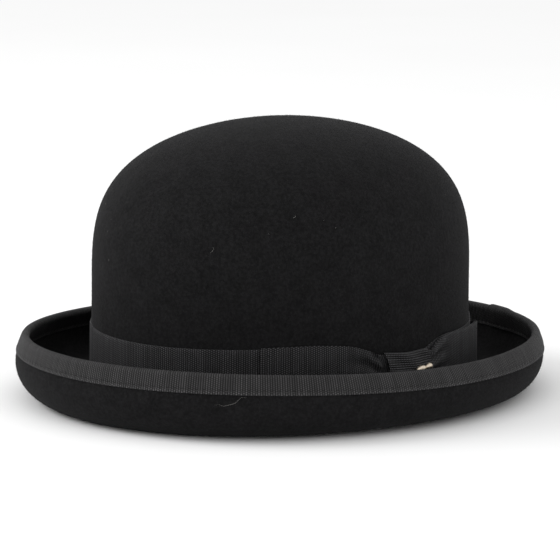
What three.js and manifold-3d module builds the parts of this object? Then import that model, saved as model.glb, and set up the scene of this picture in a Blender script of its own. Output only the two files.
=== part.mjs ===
// A bowler hat: one blocked wool-felt body with a curled and bound brim, a grosgrain band with a
// flat bow on the wearer's left, and the trim inside the head opening.
// Millimetres. +Z is up, the front of the hat faces -Y and the wearer's left is +X.
import * as THREE from 'three';
import { mergeVertices } from 'three/addons/utils/BufferGeometryUtils.js';
import Module from 'manifold-3d';

const wasm = await Module();
wasm.setup();

const DEG = Math.PI / 180;

// Felt body: crown
const HAT_HEIGHT = 140.9; // table to the top of the crown
const CROWN_HALF_WIDTH = 89.6; // outer felt at the headline, side to side
const CROWN_HALF_LENGTH = 103.7; // outer felt at the headline, front to back
const CROWN_TAPER = 0.005; // share of its width that the wall loses on the way up
const DOME_START = 55.4; // height at which the upright wall begins to round over
const DOME_ROUND = 1.934; // exponent of the dome across the hat
const DOME_FULL = 3.463; // exponent of the dome up the hat; more is a squarer shoulder
const FELT = 3; // thickness of the stiffened felt

// Felt body: brim
const CREASE_RADIUS = 3.6; // top side of the crease where the crown meets the brim
const HEADLINE_SWAY = 1.25; // the headline stands this much above and below its mean height
const BRIM_DROOP = 4.4 * DEG; // the brim runs outwards and down at this slope before it curls
const BRIM_FLAT = 16.6; // straight part of the brim
const BRIM_FLAT_SIDES = 1.4; // more at the sides, less at front and back
const BRIM_FLAT_BACK = 0.36; // more at the back, less at the front
const CURL_RADIUS = 15.8; // middle of the felt in the curl
const CURL_RADIUS_SIDES = -2.1;
const CURL_TURN = 120 * DEG; // angle through which the curl turns
const CURL_TURN_SIDES = 12 * DEG;
const CURL_TURN_BACK = -1.6 * DEG;
const LIP = 4.6; // straight edge above the curl
const LIP_SIDES = -1.9;
const LIP_BACK = -1.6;
const REST_FLATTEN = 0.35; // depth pressed flat where the brim rests, front and back

// Ribbons outside
const CLEARANCE = 0.3; // gap between pieces that lie on each other
const RIBBON = 0.7; // thickness of the grosgrain
const BAND_WIDTH = 31;
const BAND_FOOT = 2.6; // height of the band's lower edge above the headline
const BINDING_OUTSIDE = 8.1; // how far the binding reaches down the outside of the edge
const BINDING_INSIDE = 9.2; // and down the inside
const BINDING_JOIN = 78 * DEG; // where the binding's ends overlap, a little left of the back
const BINDING_LAP = 4 * DEG;
const BOW_OFFSET = -2.3; // the bow's middle lies this far behind the middle of the side
const BOW_HALF_LENGTH = 76;
const BOW_WIDTH = 33;
const BOW_PINCH = 22; // height of the bow where the knot gathers it
const BOW_PINCH_RUN = 22; // length over which each wing widens again
const BOW_SAG = 3.1; // the knot and the rear wing hang this much below the middle of the band
const BOW_SAG_RUN = 42; // length over which the front wing rises to the middle of the band
const BOW_REAR_FLARE = 2.2; // the rear wing's end stands this far off the band
const BAND_TUCK = 1; // the gathered band stays this far inside the bow's edges
const BAND_RELEASE = 18; // past the bow the band regains its width over this length
const BAND_SEAM = 1.5; // between the band's ends, under the knot
const KNOT_HALF_LENGTH = 14;
const KNOT_FALL = 0.9; // the knot's rear end hangs this much below its middle
const KNOT_BULGE = 1.8; // the knot's face swells by this at mid-height

// Pin on the knot
const PIN_HALF_LENGTH = 5.4;
const PIN_LOBE = 1.8; // radius of the long lobe
const PIN_BALL = 2; // radius of the ball at its end
const PIN_TILT = 4 * DEG;
const PIN_ALONG = 6.8; // place on the knot, from the bow's middle
const PIN_RISE = 3.8; // and above the knot's middle line
const PIN_STEM = 0.6; // radius of the stem

// Inside the head opening
const TAPE = 0.35; // thickness of the reed tape, join strip and lining
const TAPE_TAIL = 9; // height of the tape's tail above the headline
const REED = 0.8; // radius of the reed
const REED_DROP = 0.5; // the reed's middle lies this far below the headline
const LEATHER = 0.9;
const SWEATBAND_HEIGHT = 44;
const SWEATBAND_GAP = 1.6; // between the sweatband's ends, at the back
const JOIN_STRIP_WIDTH = 14;
const LINING_TUCK = 7; // length of lining tucked behind the sweatband
const LINING_LOOSE = 2.2; // how far the lining hangs off the felt of the dome
const LINING_SEAM = 47 * DEG; // where the side lining meets the tip
const SEAM_GAP = 0.3 * DEG;
const INNER_BOW_HALF_LENGTH = 15;
const INNER_BOW_WIDTH = 8;
const INNER_BOW_PINCH = 5;
const INNER_KNOT_HALF_LENGTH = 2.6;

// Steps round the head: every ring shares them, so that flat facets lie on flat facets
const COLUMNS = 60;
const COLUMN_STEP = 2 * Math.PI / COLUMNS;

const FELT_INSIDE = -FELT;
const TAPE_OUTSIDE = FELT_INSIDE - CLEARANCE;
const LEATHER_OUTSIDE = TAPE_OUTSIDE - TAPE - CLEARANCE;
const LEATHER_INSIDE = LEATHER_OUTSIDE - LEATHER;
const LEATHER_FOOT = REED + CLEARANCE + TAPE - REED_DROP + CLEARANCE;
const SWEATBAND_TOP = LEATHER_FOOT + SWEATBAND_HEIGHT;
const CREASE_MIDDLE = CREASE_RADIUS + FELT / 2;

const headOval = new THREE.EllipseCurve(0, 0, CROWN_HALF_WIDTH, CROWN_HALF_LENGTH);
headOval.arcLengthDivisions = 720;
const HEAD_ARC_LENGTHS = headOval.getLengths();
const HEAD_ARC = headOval.getLength();

// Angle on the oval at an arc length, counted from the middle of the left side to the back.
function ovalAngle(arc) {
  const share = ((arc / HEAD_ARC) % 1 + 1) % 1;
  return 2 * Math.PI * headOval.getUtoTmapping(share);
}

// Arc length from the middle of the left side to an angle on the oval, within one turn.
function ovalArc(angle) {
  const step = ((angle / (2 * Math.PI)) % 1 + 1) % 1 * headOval.arcLengthDivisions;
  const low = Math.floor(step);
  return THREE.MathUtils.lerp(HEAD_ARC_LENGTHS[low], HEAD_ARC_LENGTHS[low + 1], step - low);
}

// The headline oval at an angle: its point, outward normal, and how far round it is.
function oval(angle) {
  const x = CROWN_HALF_WIDTH * Math.cos(angle);
  const y = CROWN_HALF_LENGTH * Math.sin(angle);
  const normal = new THREE.Vector2(x / CROWN_HALF_WIDTH ** 2, y / CROWN_HALF_LENGTH ** 2).normalize();
  const polar = Math.atan2(y, x);
  return { x, y, normal, side: Math.cos(2 * polar), back: Math.sin(polar) };
}

// Sizes of the brim at one place round the hat.
function brimAt(angle) {
  const { side, back } = oval(angle);
  return {
    flat: BRIM_FLAT + BRIM_FLAT_SIDES * side + BRIM_FLAT_BACK * back,
    radius: CURL_RADIUS + CURL_RADIUS_SIDES * side,
    turn: CURL_TURN + CURL_TURN_SIDES * side + CURL_TURN_BACK * back,
    lip: LIP + LIP_SIDES * side + LIP_BACK * back,
  };
}

const FRONT = -Math.PI / 2;
const front = brimAt(FRONT);
const FRONT_HEADLINE = FELT + front.flat * Math.sin(BRIM_DROOP)
  + front.radius * (1 - Math.cos(BRIM_DROOP)) - REST_FLATTEN;

// Height of the headline, lowest at front and back, where the brim dips to the table.
function headline(angle) {
  return FRONT_HEADLINE + HEADLINE_SWAY * (1 + oval(angle).side);
}

// A point on the crown's wall at a height, moved outwards from the outer felt.
function wallPoint(angle, height, out) {
  const { x, y, normal } = oval(angle);
  const foot = headline(angle) - FELT / 2 + CREASE_MIDDLE;
  const share = THREE.MathUtils.clamp((height - foot) / (DOME_START - foot), 0, 1);
  const scale = 1 - CROWN_TAPER * share;
  return new THREE.Vector3(x * scale + normal.x * out, y * scale + normal.y * out, height);
}

// A point on the dome, which is a superellipse from the wall (climb 0) to the top (90 degrees).
function domePoint(angle, climb, out) {
  const reach = climb < Math.PI / 2 ? Math.cos(climb) ** (2 / DOME_ROUND) : 0;
  const rise = Math.sin(climb) ** (2 / DOME_FULL);
  const halfWidth = CROWN_HALF_WIDTH * (1 - CROWN_TAPER);
  const halfLength = CROWN_HALF_LENGTH * (1 - CROWN_TAPER);
  const domeHeight = HAT_HEIGHT - DOME_START;
  const across = DOME_ROUND * reach ** (DOME_ROUND - 1);
  const normal = new THREE.Vector3(
    across * Math.cos(angle) / halfWidth,
    across * Math.sin(angle) / halfLength,
    DOME_FULL * rise ** (DOME_FULL - 1) / domeHeight,
  ).normalize();
  return new THREE.Vector3(
    halfWidth * reach * Math.cos(angle),
    halfLength * reach * Math.sin(angle),
    DOME_START + domeHeight * rise,
  ).addScaledVector(normal, out);
}

// A point given as a distance out from the headline oval and a height.
function sectionPoint(angle, out, height) {
  const { x, y, normal } = oval(angle);
  return new THREE.Vector3(x + normal.x * out, y + normal.y * out, height);
}

// The crease: an arc from the upright wall to the sloping brim. side moves towards the top face.
function creasePoint(angle, turn, side) {
  const out = CREASE_RADIUS - (CREASE_MIDDLE - side) * Math.cos(turn);
  const height = headline(angle) - FELT / 2 + CREASE_MIDDLE - (CREASE_MIDDLE - side) * Math.sin(turn);
  return sectionPoint(angle, out, height);
}

// The brim beyond the crease, where flat runs from 0 to 1 along its straight part.
function flatPoint(angle, flat, side) {
  const run = brimAt(angle).flat * flat;
  const out = CREASE_RADIUS - CREASE_MIDDLE * Math.sin(BRIM_DROOP) + run * Math.cos(BRIM_DROOP);
  const height = headline(angle) - FELT / 2 + CREASE_MIDDLE * (1 - Math.cos(BRIM_DROOP))
    - run * Math.sin(BRIM_DROOP);
  return sectionPoint(angle, out + side * Math.sin(BRIM_DROOP), height + side * Math.cos(BRIM_DROOP));
}

// The curl, where slope is the direction that the felt runs in, and then the straight lip.
function curlPoint(angle, slope, lip, side) {
  const { flat, radius } = brimAt(angle);
  const centreOut = CREASE_RADIUS - CREASE_MIDDLE * Math.sin(BRIM_DROOP)
    + flat * Math.cos(BRIM_DROOP) + radius * Math.sin(BRIM_DROOP);
  const centreHeight = headline(angle) - FELT / 2 + CREASE_MIDDLE * (1 - Math.cos(BRIM_DROOP))
    - flat * Math.sin(BRIM_DROOP) + radius * Math.cos(BRIM_DROOP);
  const out = centreOut + (radius - side) * Math.sin(slope) + lip * Math.cos(slope);
  const height = centreHeight - (radius - side) * Math.cos(slope) + lip * Math.sin(slope);
  return sectionPoint(angle, out, height);
}

// A point near the brim's edge: back is the distance along the felt from its end.
function edgePoint(angle, back, side) {
  const { radius, turn, lip } = brimAt(angle);
  const end = turn - BRIM_DROOP;
  if (back <= lip) return curlPoint(angle, end, lip - back, side);
  return curlPoint(angle, end - (back - lip) / radius, 0, side);
}

// Round the end of the felt at a distance from its middle; sweep is 0 on the outside, 1 inside.
function edgeRound(angle, sweep, distance) {
  const { turn, lip } = brimAt(angle);
  const around = (sweep - 0.5) * Math.PI;
  return curlPoint(
    angle, turn - BRIM_DROOP, lip + distance * Math.cos(around), distance * Math.sin(around));
}

// Joins one face of a sheet to the other, as the closed outline of its thickness.
function sheetOutline(face, otherFace) {
  return face.concat(otherFace.slice().reverse());
}

// Skins a row of outlines that all have the same number of points. A ring closes on itself;
// a strip gets a cap at each end, laid across the sheet's thickness.
function loft(outlines, ring) {
  const count = outlines[0].length;
  const points = outlines.flat();
  const faces = [];
  const quad = (a, b, c, d) => faces.push(a, b, c, a, c, d);
  const spans = ring ? outlines.length : outlines.length - 1;
  for (let i = 0; i < spans; i++) {
    const next = (i + 1) % outlines.length;
    for (let j = 0; j < count; j++) {
      const k = (j + 1) % count;
      quad(i * count + j, i * count + k, next * count + k, next * count + j);
    }
  }
  if (!ring) {
    const last = (outlines.length - 1) * count;
    for (let j = 0; j < count / 2 - 1; j++) {
      const across = count - 1 - j;
      quad(j, across, across - 1, j + 1);
      quad(last + j, last + j + 1, last + across - 1, last + across);
    }
  }
  return closedGeometry(points, faces);
}

// An indexed geometry with shared points merged, collapsed faces dropped and faces turned out.
function closedGeometry(points, faces) {
  const loose = new THREE.BufferGeometry();
  loose.setAttribute('position', new THREE.Float32BufferAttribute(points.flatMap((p) => p.toArray()), 3));
  loose.setIndex(faces);
  const merged = mergeVertices(loose, 1e-5);
  const index = Array.from(merged.index.array);
  const kept = [];
  for (let i = 0; i < index.length; i += 3) {
    const [a, b, c] = index.slice(i, i + 3);
    if (a !== b && b !== c && c !== a) kept.push(a, b, c);
  }
  if (signedVolume(merged.attributes.position, kept) < 0) kept.reverse();
  merged.setIndex(kept);
  return merged;
}

function signedVolume(position, index) {
  const corner = (i) => new THREE.Vector3().fromBufferAttribute(position, index[i]);
  let sum = 0;
  for (let i = 0; i < index.length; i += 3) sum += corner(i).dot(corner(i + 1).cross(corner(i + 2)));
  return sum / 6;
}

// Angles of the shared columns from one angle to another, with both ends.
function columnsBetween(start, end) {
  const angles = [start];
  for (let k = Math.floor(start / COLUMN_STEP) + 1; k * COLUMN_STEP < end - 1e-6; k++) {
    if (k * COLUMN_STEP > start + 1e-6) angles.push(k * COLUMN_STEP);
  }
  angles.push(end);
  return angles;
}

function fullTurn() {
  return Array.from({ length: COLUMNS }, (_, k) => k * COLUMN_STEP);
}

function toManifold(geometry) {
  const bare = geometry.clone();
  bare.deleteAttribute('normal');
  bare.deleteAttribute('uv');
  const merged = mergeVertices(bare, 1e-5);
  return new wasm.Manifold(new wasm.Mesh({
    numProp: 3,
    vertProperties: Float32Array.from(merged.attributes.position.array),
    triVerts: Uint32Array.from(merged.index.array),
  }));
}

function fromManifold(solid) {
  const { vertProperties, triVerts } = solid.getMesh();
  const geometry = new THREE.BufferGeometry();
  geometry.setAttribute('position', new THREE.BufferAttribute(vertProperties, 3));
  geometry.setIndex(new THREE.BufferAttribute(triVerts, 1));
  return geometry;
}

// One face of the whole felt, from the top of the crown to the end of the lip.
// side is half the felt on the outer and top face, and minus half on the inner and under face.
function feltFace(angle, side) {
  const { turn } = brimAt(angle);
  const end = turn - BRIM_DROOP;
  const climbs = [90, 82, 75, 68, 60, 52, 44, 36, 28, 21, 14, 8, 3, 0].map((v) => v * DEG);
  const creases = [0, 0.27, 0.52, 0.76, 1].map((v) => v * (Math.PI / 2 - BRIM_DROOP));
  const restStart = 0.84;
  const restEnd = 8 * DEG;
  const curls = [0.14, 0.29, 0.44, 0.58, 0.72, 0.86, 1].map((v) => restEnd + v * (end - restEnd));
  return [
    ...climbs.map((climb) => domePoint(angle, climb, side - FELT / 2)),
    ...creases.map((crease) => creasePoint(angle, crease, side)),
    flatPoint(angle, restStart, side),
    ...[-BRIM_DROOP, 0, restEnd, ...curls].map((slope) => curlPoint(angle, slope, 0, side)),
    edgePoint(angle, 0, side),
  ];
}

function feltBody() {
  const outlines = fullTurn().map((angle) => {
    const top = feltFace(angle, FELT / 2);
    const under = feltFace(angle, -FELT / 2);
    for (const point of under) point.z = Math.max(point.z, 0);
    return sheetOutline(top, under);
  });
  return loft(outlines, true);
}

// The binding folds over the edge. Its second end climbs over its first, where they overlap.
function brimBinding() {
  const rampStart = BINDING_JOIN + 2 * Math.PI - COLUMN_STEP;
  const rampEnd = BINDING_JOIN + 2 * Math.PI - COLUMN_STEP / 4;
  const end = BINDING_JOIN + 2 * Math.PI + BINDING_LAP;
  const angles = columnsBetween(BINDING_JOIN, end);
  angles.push(BINDING_JOIN + BINDING_LAP, rampEnd);
  angles.sort((a, b) => a - b);
  const face = (angle, lift) => {
    const distance = FELT / 2 + CLEARANCE + lift;
    return [
      ...[1, 0.5, 0].map((share) => edgePoint(angle, share * BINDING_OUTSIDE, -distance)),
      ...[0.25, 0.5, 0.75].map((sweep) => edgeRound(angle, sweep, distance)),
      ...[0, 0.5, 1].map((share) => edgePoint(angle, share * BINDING_INSIDE, distance)),
    ];
  };
  const outlines = angles.map((angle) => {
    const ramp = THREE.MathUtils.clamp((angle - rampStart) / (rampEnd - rampStart), 0, 1);
    const lift = ramp * (RIBBON + CLEARANCE);
    return sheetOutline(face(angle, lift), face(angle, lift + RIBBON));
  });
  return loft(outlines, false);
}

// Smooth step from 0 to 1 as value goes from low to high.
function ease(value, low, high) {
  return THREE.MathUtils.smoothstep(value, low, high);
}

// Places along a bow, from the end of one wing to the end of the other.
function bowStations(spec) {
  const wing = [1, 0.84, 0.68, 0.52, 0.38, 0.25, 0.13, 0.05, 0]
    .map((share) => spec.knot + share * (spec.length - spec.knot));
  const knot = [-0.5, 0, 0.5].map((share) => share * spec.knot);
  return [...wing.map((v) => -v), ...knot, ...wing.slice().reverse()];
}

// Height of a bow's middle line, which hangs low at the knot and slopes down through it.
function bowMiddle(spec, along) {
  const front = ease(-along, spec.knot, spec.knot + spec.sagRun);
  const slope = THREE.MathUtils.clamp(along / spec.knot, -1, 1)
    * (1 - ease(Math.abs(along), spec.knot, spec.knot + spec.run));
  return spec.height - spec.sag * (1 - front) - spec.fall * slope;
}

// Lower and upper edge of a bow. Its wings open quickly beside the knot and then run level.
function bowEdges(spec, along) {
  const open = THREE.MathUtils.clamp((Math.abs(along) - spec.knot) / spec.run, 0, 1);
  const half = THREE.MathUtils.lerp(spec.width, spec.pinch, (1 - open) ** 2) / 2;
  const middle = bowMiddle(spec, along);
  return [Math.max(middle - half, spec.height - spec.width / 2), middle + half];
}

// The band's ends meet under the knot, where the band is gathered to stay behind the bow.
function hatBand() {
  const start = ovalAngle(BOW_OFFSET + BAND_SEAM / 2);
  const end = start + (ovalAngle(BOW_OFFSET - BAND_SEAM / 2) - start + 2 * Math.PI) % (2 * Math.PI);
  const angles = columnsBetween(start, end);
  for (const along of bowStations(sideBow)) {
    const angle = start + (ovalAngle(BOW_OFFSET + along) - start + 2 * Math.PI) % (2 * Math.PI);
    const apart = Math.min(...angles.map((other) => Math.abs(other - angle)));
    if (angle < end && apart > COLUMN_STEP / 8) angles.push(angle);
  }
  angles.sort((a, b) => a - b);
  const outlines = angles.map((angle) => {
    const turn = ovalArc(angle) - BOW_OFFSET;
    const along = turn - HEAD_ARC * Math.round(turn / HEAD_ARC);
    const [low, high] = bowEdges(sideBow, along);
    const gather = 1 - ease(Math.abs(along), BOW_HALF_LENGTH, BOW_HALF_LENGTH + BAND_RELEASE);
    const foot = BAND_FOOT + gather * Math.max(low + BAND_TUCK - BAND_FOOT, 0);
    const top = BAND_FOOT + BAND_WIDTH
      - gather * Math.max(BAND_FOOT + BAND_WIDTH - (high - BAND_TUCK), 0);
    const face = (out) => [foot, top].map((up) => wallPoint(angle, headline(angle) + up, out));
    return sheetOutline(face(CLEARANCE), face(CLEARANCE + RIBBON));
  });
  return loft(outlines, false);
}

// A flat bow is a ribbon folded into a flattened loop, drawn in where its knot goes round.
// place maps (along, out, up) to the hat: out is counted from the surface that the bow lies on.
function bowLoop(spec, place) {
  const middle = (along, layer) => {
    const overKnot = 1 - ease(Math.abs(along), spec.knot + 1, spec.knot + 6);
    const rear = ease(along, spec.knot, spec.length);
    const base = CLEARANCE + spec.thick / 2 + overKnot * (spec.thick + CLEARANCE);
    return base + layer * (spec.thick + CLEARANCE) + rear * spec.flare;
  };
  const row = bowStations(spec);
  const reversed = row.slice().reverse();
  const turn = (spec.thick + CLEARANCE) / 2;
  const fold = (side) => [0.25, 0.5, 0.75].map((share) => {
    const around = share * Math.PI;
    const along = side * (spec.length + turn * Math.sin(around));
    const out = middle(side * spec.length, 0.5) + side * turn * Math.cos(around);
    return { along, out, normal: [side * Math.sin(around), side * Math.cos(around)] };
  });
  const stations = [
    ...row.map((along) => ({ along, out: middle(along, 1), normal: [0, 1] })),
    ...fold(1),
    ...reversed.map((along) => ({ along, out: middle(along, 0), normal: [0, -1] })),
    ...fold(-1),
  ];
  const outlines = stations.map(({ along, out, normal }) => {
    const [low, high] = bowEdges(spec, along);
    const face = (offset) => [low, (low + high) / 2, high].map((up) => place(
      along + normal[0] * offset, out + normal[1] * offset, up));
    return sheetOutline(face(spec.thick / 2), face(-spec.thick / 2));
  });
  return loft(outlines, true);
}

// The knot is a ribbon taken round the middle of the bow, between it and the surface behind.
function bowKnot(spec, place) {
  const back = CLEARANCE + spec.thick / 2;
  const face = back + 3 * (spec.thick + CLEARANCE);
  const half = spec.pinch / 2 + CLEARANCE + spec.thick / 2;
  const corner = (face - back) / 2;
  const swell = (up) => spec.bulge * (1 - (up / half) ** 2);
  const levels = [-0.7, -0.35, 0, 0.35, 0.7].map((share) => share * half);
  const path = [
    ...levels.map((up) => ({ out: face + swell(up), up, normal: [1, 0] })),
    { out: face, up: half, normal: [Math.SQRT1_2, Math.SQRT1_2] },
    { out: face - corner, up: half + 0.4, normal: [0, 1] },
    { out: back, up: half, normal: [-Math.SQRT1_2, Math.SQRT1_2] },
    { out: back, up: 0, normal: [-1, 0] },
    { out: back, up: -half, normal: [-Math.SQRT1_2, -Math.SQRT1_2] },
    { out: face - corner, up: -half - 0.4, normal: [0, -1] },
    { out: face, up: -half, normal: [Math.SQRT1_2, -Math.SQRT1_2] },
  ];
  const outlines = path.map(({ out, up, normal }) => {
    const line = (t) => [-1, -0.5, 0, 0.5, 1].map((share) => place(
      share * spec.knot, out + normal[0] * t, bowMiddle(spec, share * spec.knot) + up + normal[1] * t));
    return sheetOutline(line(spec.thick / 2), line(-spec.thick / 2));
  });
  return loft(outlines, true);
}

const sideBow = {
  length: BOW_HALF_LENGTH, knot: KNOT_HALF_LENGTH, width: BOW_WIDTH, pinch: BOW_PINCH,
  run: BOW_PINCH_RUN, thick: RIBBON, flare: BOW_REAR_FLARE, sag: BOW_SAG, sagRun: BOW_SAG_RUN,
  fall: KNOT_FALL, bulge: KNOT_BULGE, height: BAND_FOOT + BAND_WIDTH / 2,
};

const innerBow = {
  length: INNER_BOW_HALF_LENGTH, knot: INNER_KNOT_HALF_LENGTH, width: INNER_BOW_WIDTH,
  pinch: INNER_BOW_PINCH, run: 8, thick: TAPE, flare: 0, sag: 0, sagRun: 8,
  fall: 0, bulge: 0.4, height: LEATHER_FOOT + 14,
};

// On the band, on the wearer's left.
function onBand(along, out, up) {
  const angle = ovalAngle(BOW_OFFSET + along);
  return wallPoint(angle, headline(angle) + up, CLEARANCE + RIBBON + out);
}

// On the inner face of the sweatband, at the back.
function onLeather(along, out, up) {
  const angle = ovalAngle(HEAD_ARC / 4 - along);
  return wallPoint(angle, headline(angle) + up, LEATHER_INSIDE - out);
}

// The pin's frame: x towards the front, y outwards, z up, resting clear of the knot's face.
function pinFrame() {
  const knotFace = CLEARANCE + RIBBON / 2 + 3 * (RIBBON + CLEARANCE) + KNOT_BULGE + RIBBON / 2;
  const height = bowMiddle(sideBow, PIN_ALONG) + PIN_RISE;
  const origin = onBand(PIN_ALONG, knotFace + CLEARANCE + PIN_BALL, height);
  const outward = onBand(PIN_ALONG, knotFace + 9, height).sub(onBand(PIN_ALONG, 0, height)).normalize();
  const up = new THREE.Vector3(0, 0, 1);
  const forward = new THREE.Vector3().crossVectors(outward, up);
  return new THREE.Matrix4().makeBasis(forward, outward, up).setPosition(origin);
}

// Stem of the pin, at the middle of its long lobe, pointing through the knot's face.
function pinStem(radius, length) {
  const stem = new THREE.CylinderGeometry(radius, radius, length, 12);
  const lobe = PIN_HALF_LENGTH * 0.45;
  stem.translate(lobe * Math.cos(PIN_TILT), -length / 2, -lobe * Math.sin(PIN_TILT));
  return stem.applyMatrix4(pinFrame());
}

function bowPin() {
  const neck = PIN_HALF_LENGTH - 2 * PIN_BALL;
  const profile = [
    new THREE.Vector2(0, -PIN_HALF_LENGTH),
    new THREE.Vector2(PIN_LOBE * 0.62, -PIN_HALF_LENGTH * 0.92),
    new THREE.Vector2(PIN_LOBE, -PIN_HALF_LENGTH * 0.58),
    new THREE.Vector2(PIN_LOBE * 0.92, -PIN_HALF_LENGTH * 0.3),
    new THREE.Vector2(PIN_LOBE * 0.55, neck),
    new THREE.Vector2(PIN_BALL * 0.78, neck + PIN_BALL * 0.4),
    new THREE.Vector2(PIN_BALL, neck + PIN_BALL),
    new THREE.Vector2(PIN_BALL * 0.72, neck + PIN_BALL * 1.7),
    new THREE.Vector2(0, PIN_HALF_LENGTH),
  ];
  const head = new THREE.LatheGeometry(profile, 16);
  head.rotateZ(Math.PI / 2);
  head.rotateY(PIN_TILT);
  head.applyMatrix4(pinFrame());
  const stem = pinStem(PIN_STEM, PIN_BALL + CLEARANCE + RIBBON + KNOT_BULGE / 2);
  return fromManifold(toManifold(head).add(toManifold(stem)));
}

// The side bow's knot has a small hole for the pin's stem.
function sideKnot() {
  const hole = pinStem(PIN_STEM + CLEARANCE, PIN_BALL + CLEARANCE + RIBBON + KNOT_BULGE + CLEARANCE);
  return fromManifold(toManifold(bowKnot(sideBow, onBand)).subtract(toManifold(hole)));
}

// The leather lies against the tape and lining, with its ends almost meeting at the back.
function sweatband() {
  const start = ovalAngle(HEAD_ARC / 4 + SWEATBAND_GAP / 2);
  const end = ovalAngle(HEAD_ARC / 4 - SWEATBAND_GAP / 2) + 2 * Math.PI;
  const outlines = columnsBetween(start, end).map((angle) => {
    const foot = headline(angle) + LEATHER_FOOT;
    const face = (out) => [0, 1].map((share) => wallPoint(angle, foot + share * SWEATBAND_HEIGHT, out));
    return sheetOutline(face(LEATHER_OUTSIDE), face(LEATHER_INSIDE));
  });
  return loft(outlines, false);
}

const REED_OUT = TAPE_OUTSIDE - TAPE - CLEARANCE - REED;

function sweatbandReed() {
  const sides = 8;
  const outlines = fullTurn().map((angle) => Array.from({ length: sides }, (_, k) => {
    const around = 2 * Math.PI * k / sides;
    return sectionPoint(
      angle, REED_OUT + REED * Math.cos(around), headline(angle) - REED_DROP + REED * Math.sin(around));
  }));
  return loft(outlines, true);
}

// The tape goes down behind the leather, round the reed, and stops just short of itself.
function reedTape() {
  const outlines = fullTurn().map((angle) => {
    const face = (radius) => {
      const outs = REED_OUT + radius;
      const level = headline(angle) - REED_DROP;
      const hook = [0, 52, 104, 156, 208, 260, 305].map((v) => -v * DEG);
      return [
        sectionPoint(angle, outs, headline(angle) + TAPE_TAIL),
        ...hook.map((around) => sectionPoint(
          angle, REED_OUT + radius * Math.cos(around), level + radius * Math.sin(around))),
      ];
    };
    return sheetOutline(face(REED + CLEARANCE + TAPE), face(REED + CLEARANCE));
  });
  return loft(outlines, true);
}

// A patch behind the gap between the sweatband's ends.
function joinStrip() {
  const foot = TAPE_TAIL + 1;
  const top = SWEATBAND_TOP - LINING_TUCK - 1;
  const outlines = [-1, 0, 1].map((share) => {
    const angle = ovalAngle(HEAD_ARC / 4 + share * JOIN_STRIP_WIDTH / 2);
    const face = (out) => [foot, top].map((up) => wallPoint(angle, headline(angle) + up, out));
    return sheetOutline(face(TAPE_OUTSIDE), face(TAPE_OUTSIDE - TAPE));
  });
  return loft(outlines, false);
}

// The side of the lining is tucked behind the sweatband and hangs clear of the dome above it.
function liningSide() {
  const outlines = fullTurn().map((angle) => {
    const top = headline(angle) + SWEATBAND_TOP;
    const loose = TAPE_OUTSIDE - LINING_LOOSE;
    const face = (inset) => [
      wallPoint(angle, top - LINING_TUCK, TAPE_OUTSIDE - inset),
      wallPoint(angle, top + 1, TAPE_OUTSIDE - inset),
      ...[6, 15, 26, 37, 47].map((v) => domePoint(angle, v / 47 * (LINING_SEAM - SEAM_GAP), loose - inset)),
    ];
    return sheetOutline(face(0), face(TAPE));
  });
  return loft(outlines, true);
}

function liningTip() {
  const outlines = fullTurn().map((angle) => {
    const loose = TAPE_OUTSIDE - LINING_LOOSE;
    const face = (inset) => [0, 0.3, 0.6, 0.85, 1].map((share) => domePoint(
      angle, THREE.MathUtils.lerp(LINING_SEAM + SEAM_GAP, Math.PI / 2, share), loose - inset));
    return sheetOutline(face(0), face(TAPE));
  });
  return loft(outlines, true);
}

function mesh(name, geometry, color, roughness, metalness) {
  const result = new THREE.Mesh(geometry, new THREE.MeshStandardMaterial({ color, roughness, metalness }));
  result.name = name;
  return result;
}

const hat = new THREE.Group();
hat.name = 'bowler_hat';
hat.add(
  mesh('felt_body', feltBody(), 0x1c1c1d, 0.95, 0),
  mesh('brim_binding', brimBinding(), 0x3c3b3d, 0.8, 0),
  mesh('hat_band', hatBand(), 0x2c2c2e, 0.8, 0),
  mesh('bow_loop', bowLoop(sideBow, onBand), 0x2c2c2e, 0.8, 0),
  mesh('bow_knot', sideKnot(), 0x2c2c2e, 0.8, 0),
  mesh('bow_pin', bowPin(), 0xc9bba6, 0.3, 1),
  mesh('sweatband', sweatband(), 0x2a2320, 0.55, 0),
  mesh('sweatband_reed', sweatbandReed(), 0x8f8a80, 0.5, 0),
  mesh('reed_tape', reedTape(), 0x18181a, 0.9, 0),
  mesh('join_strip', joinStrip(), 0x2a2320, 0.6, 0),
  mesh('inner_bow_loop', bowLoop(innerBow, onLeather), 0x202022, 0.6, 0),
  mesh('inner_bow_knot', bowKnot(innerBow, onLeather), 0x202022, 0.6, 0),
  mesh('lining_side', liningSide(), 0x17171a, 0.45, 0),
  mesh('lining_tip', liningTip(), 0x17171a, 0.45, 0),
);

export default hat;
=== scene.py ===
"""Bowler hat: the visible surfaces and finishes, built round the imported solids.

Lengths are metres. +Z is up, the front of the hat faces -Y and the wearer's left is +X.
"""

import bpy
import numpy as np
from mathutils import Matrix, Vector


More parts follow.
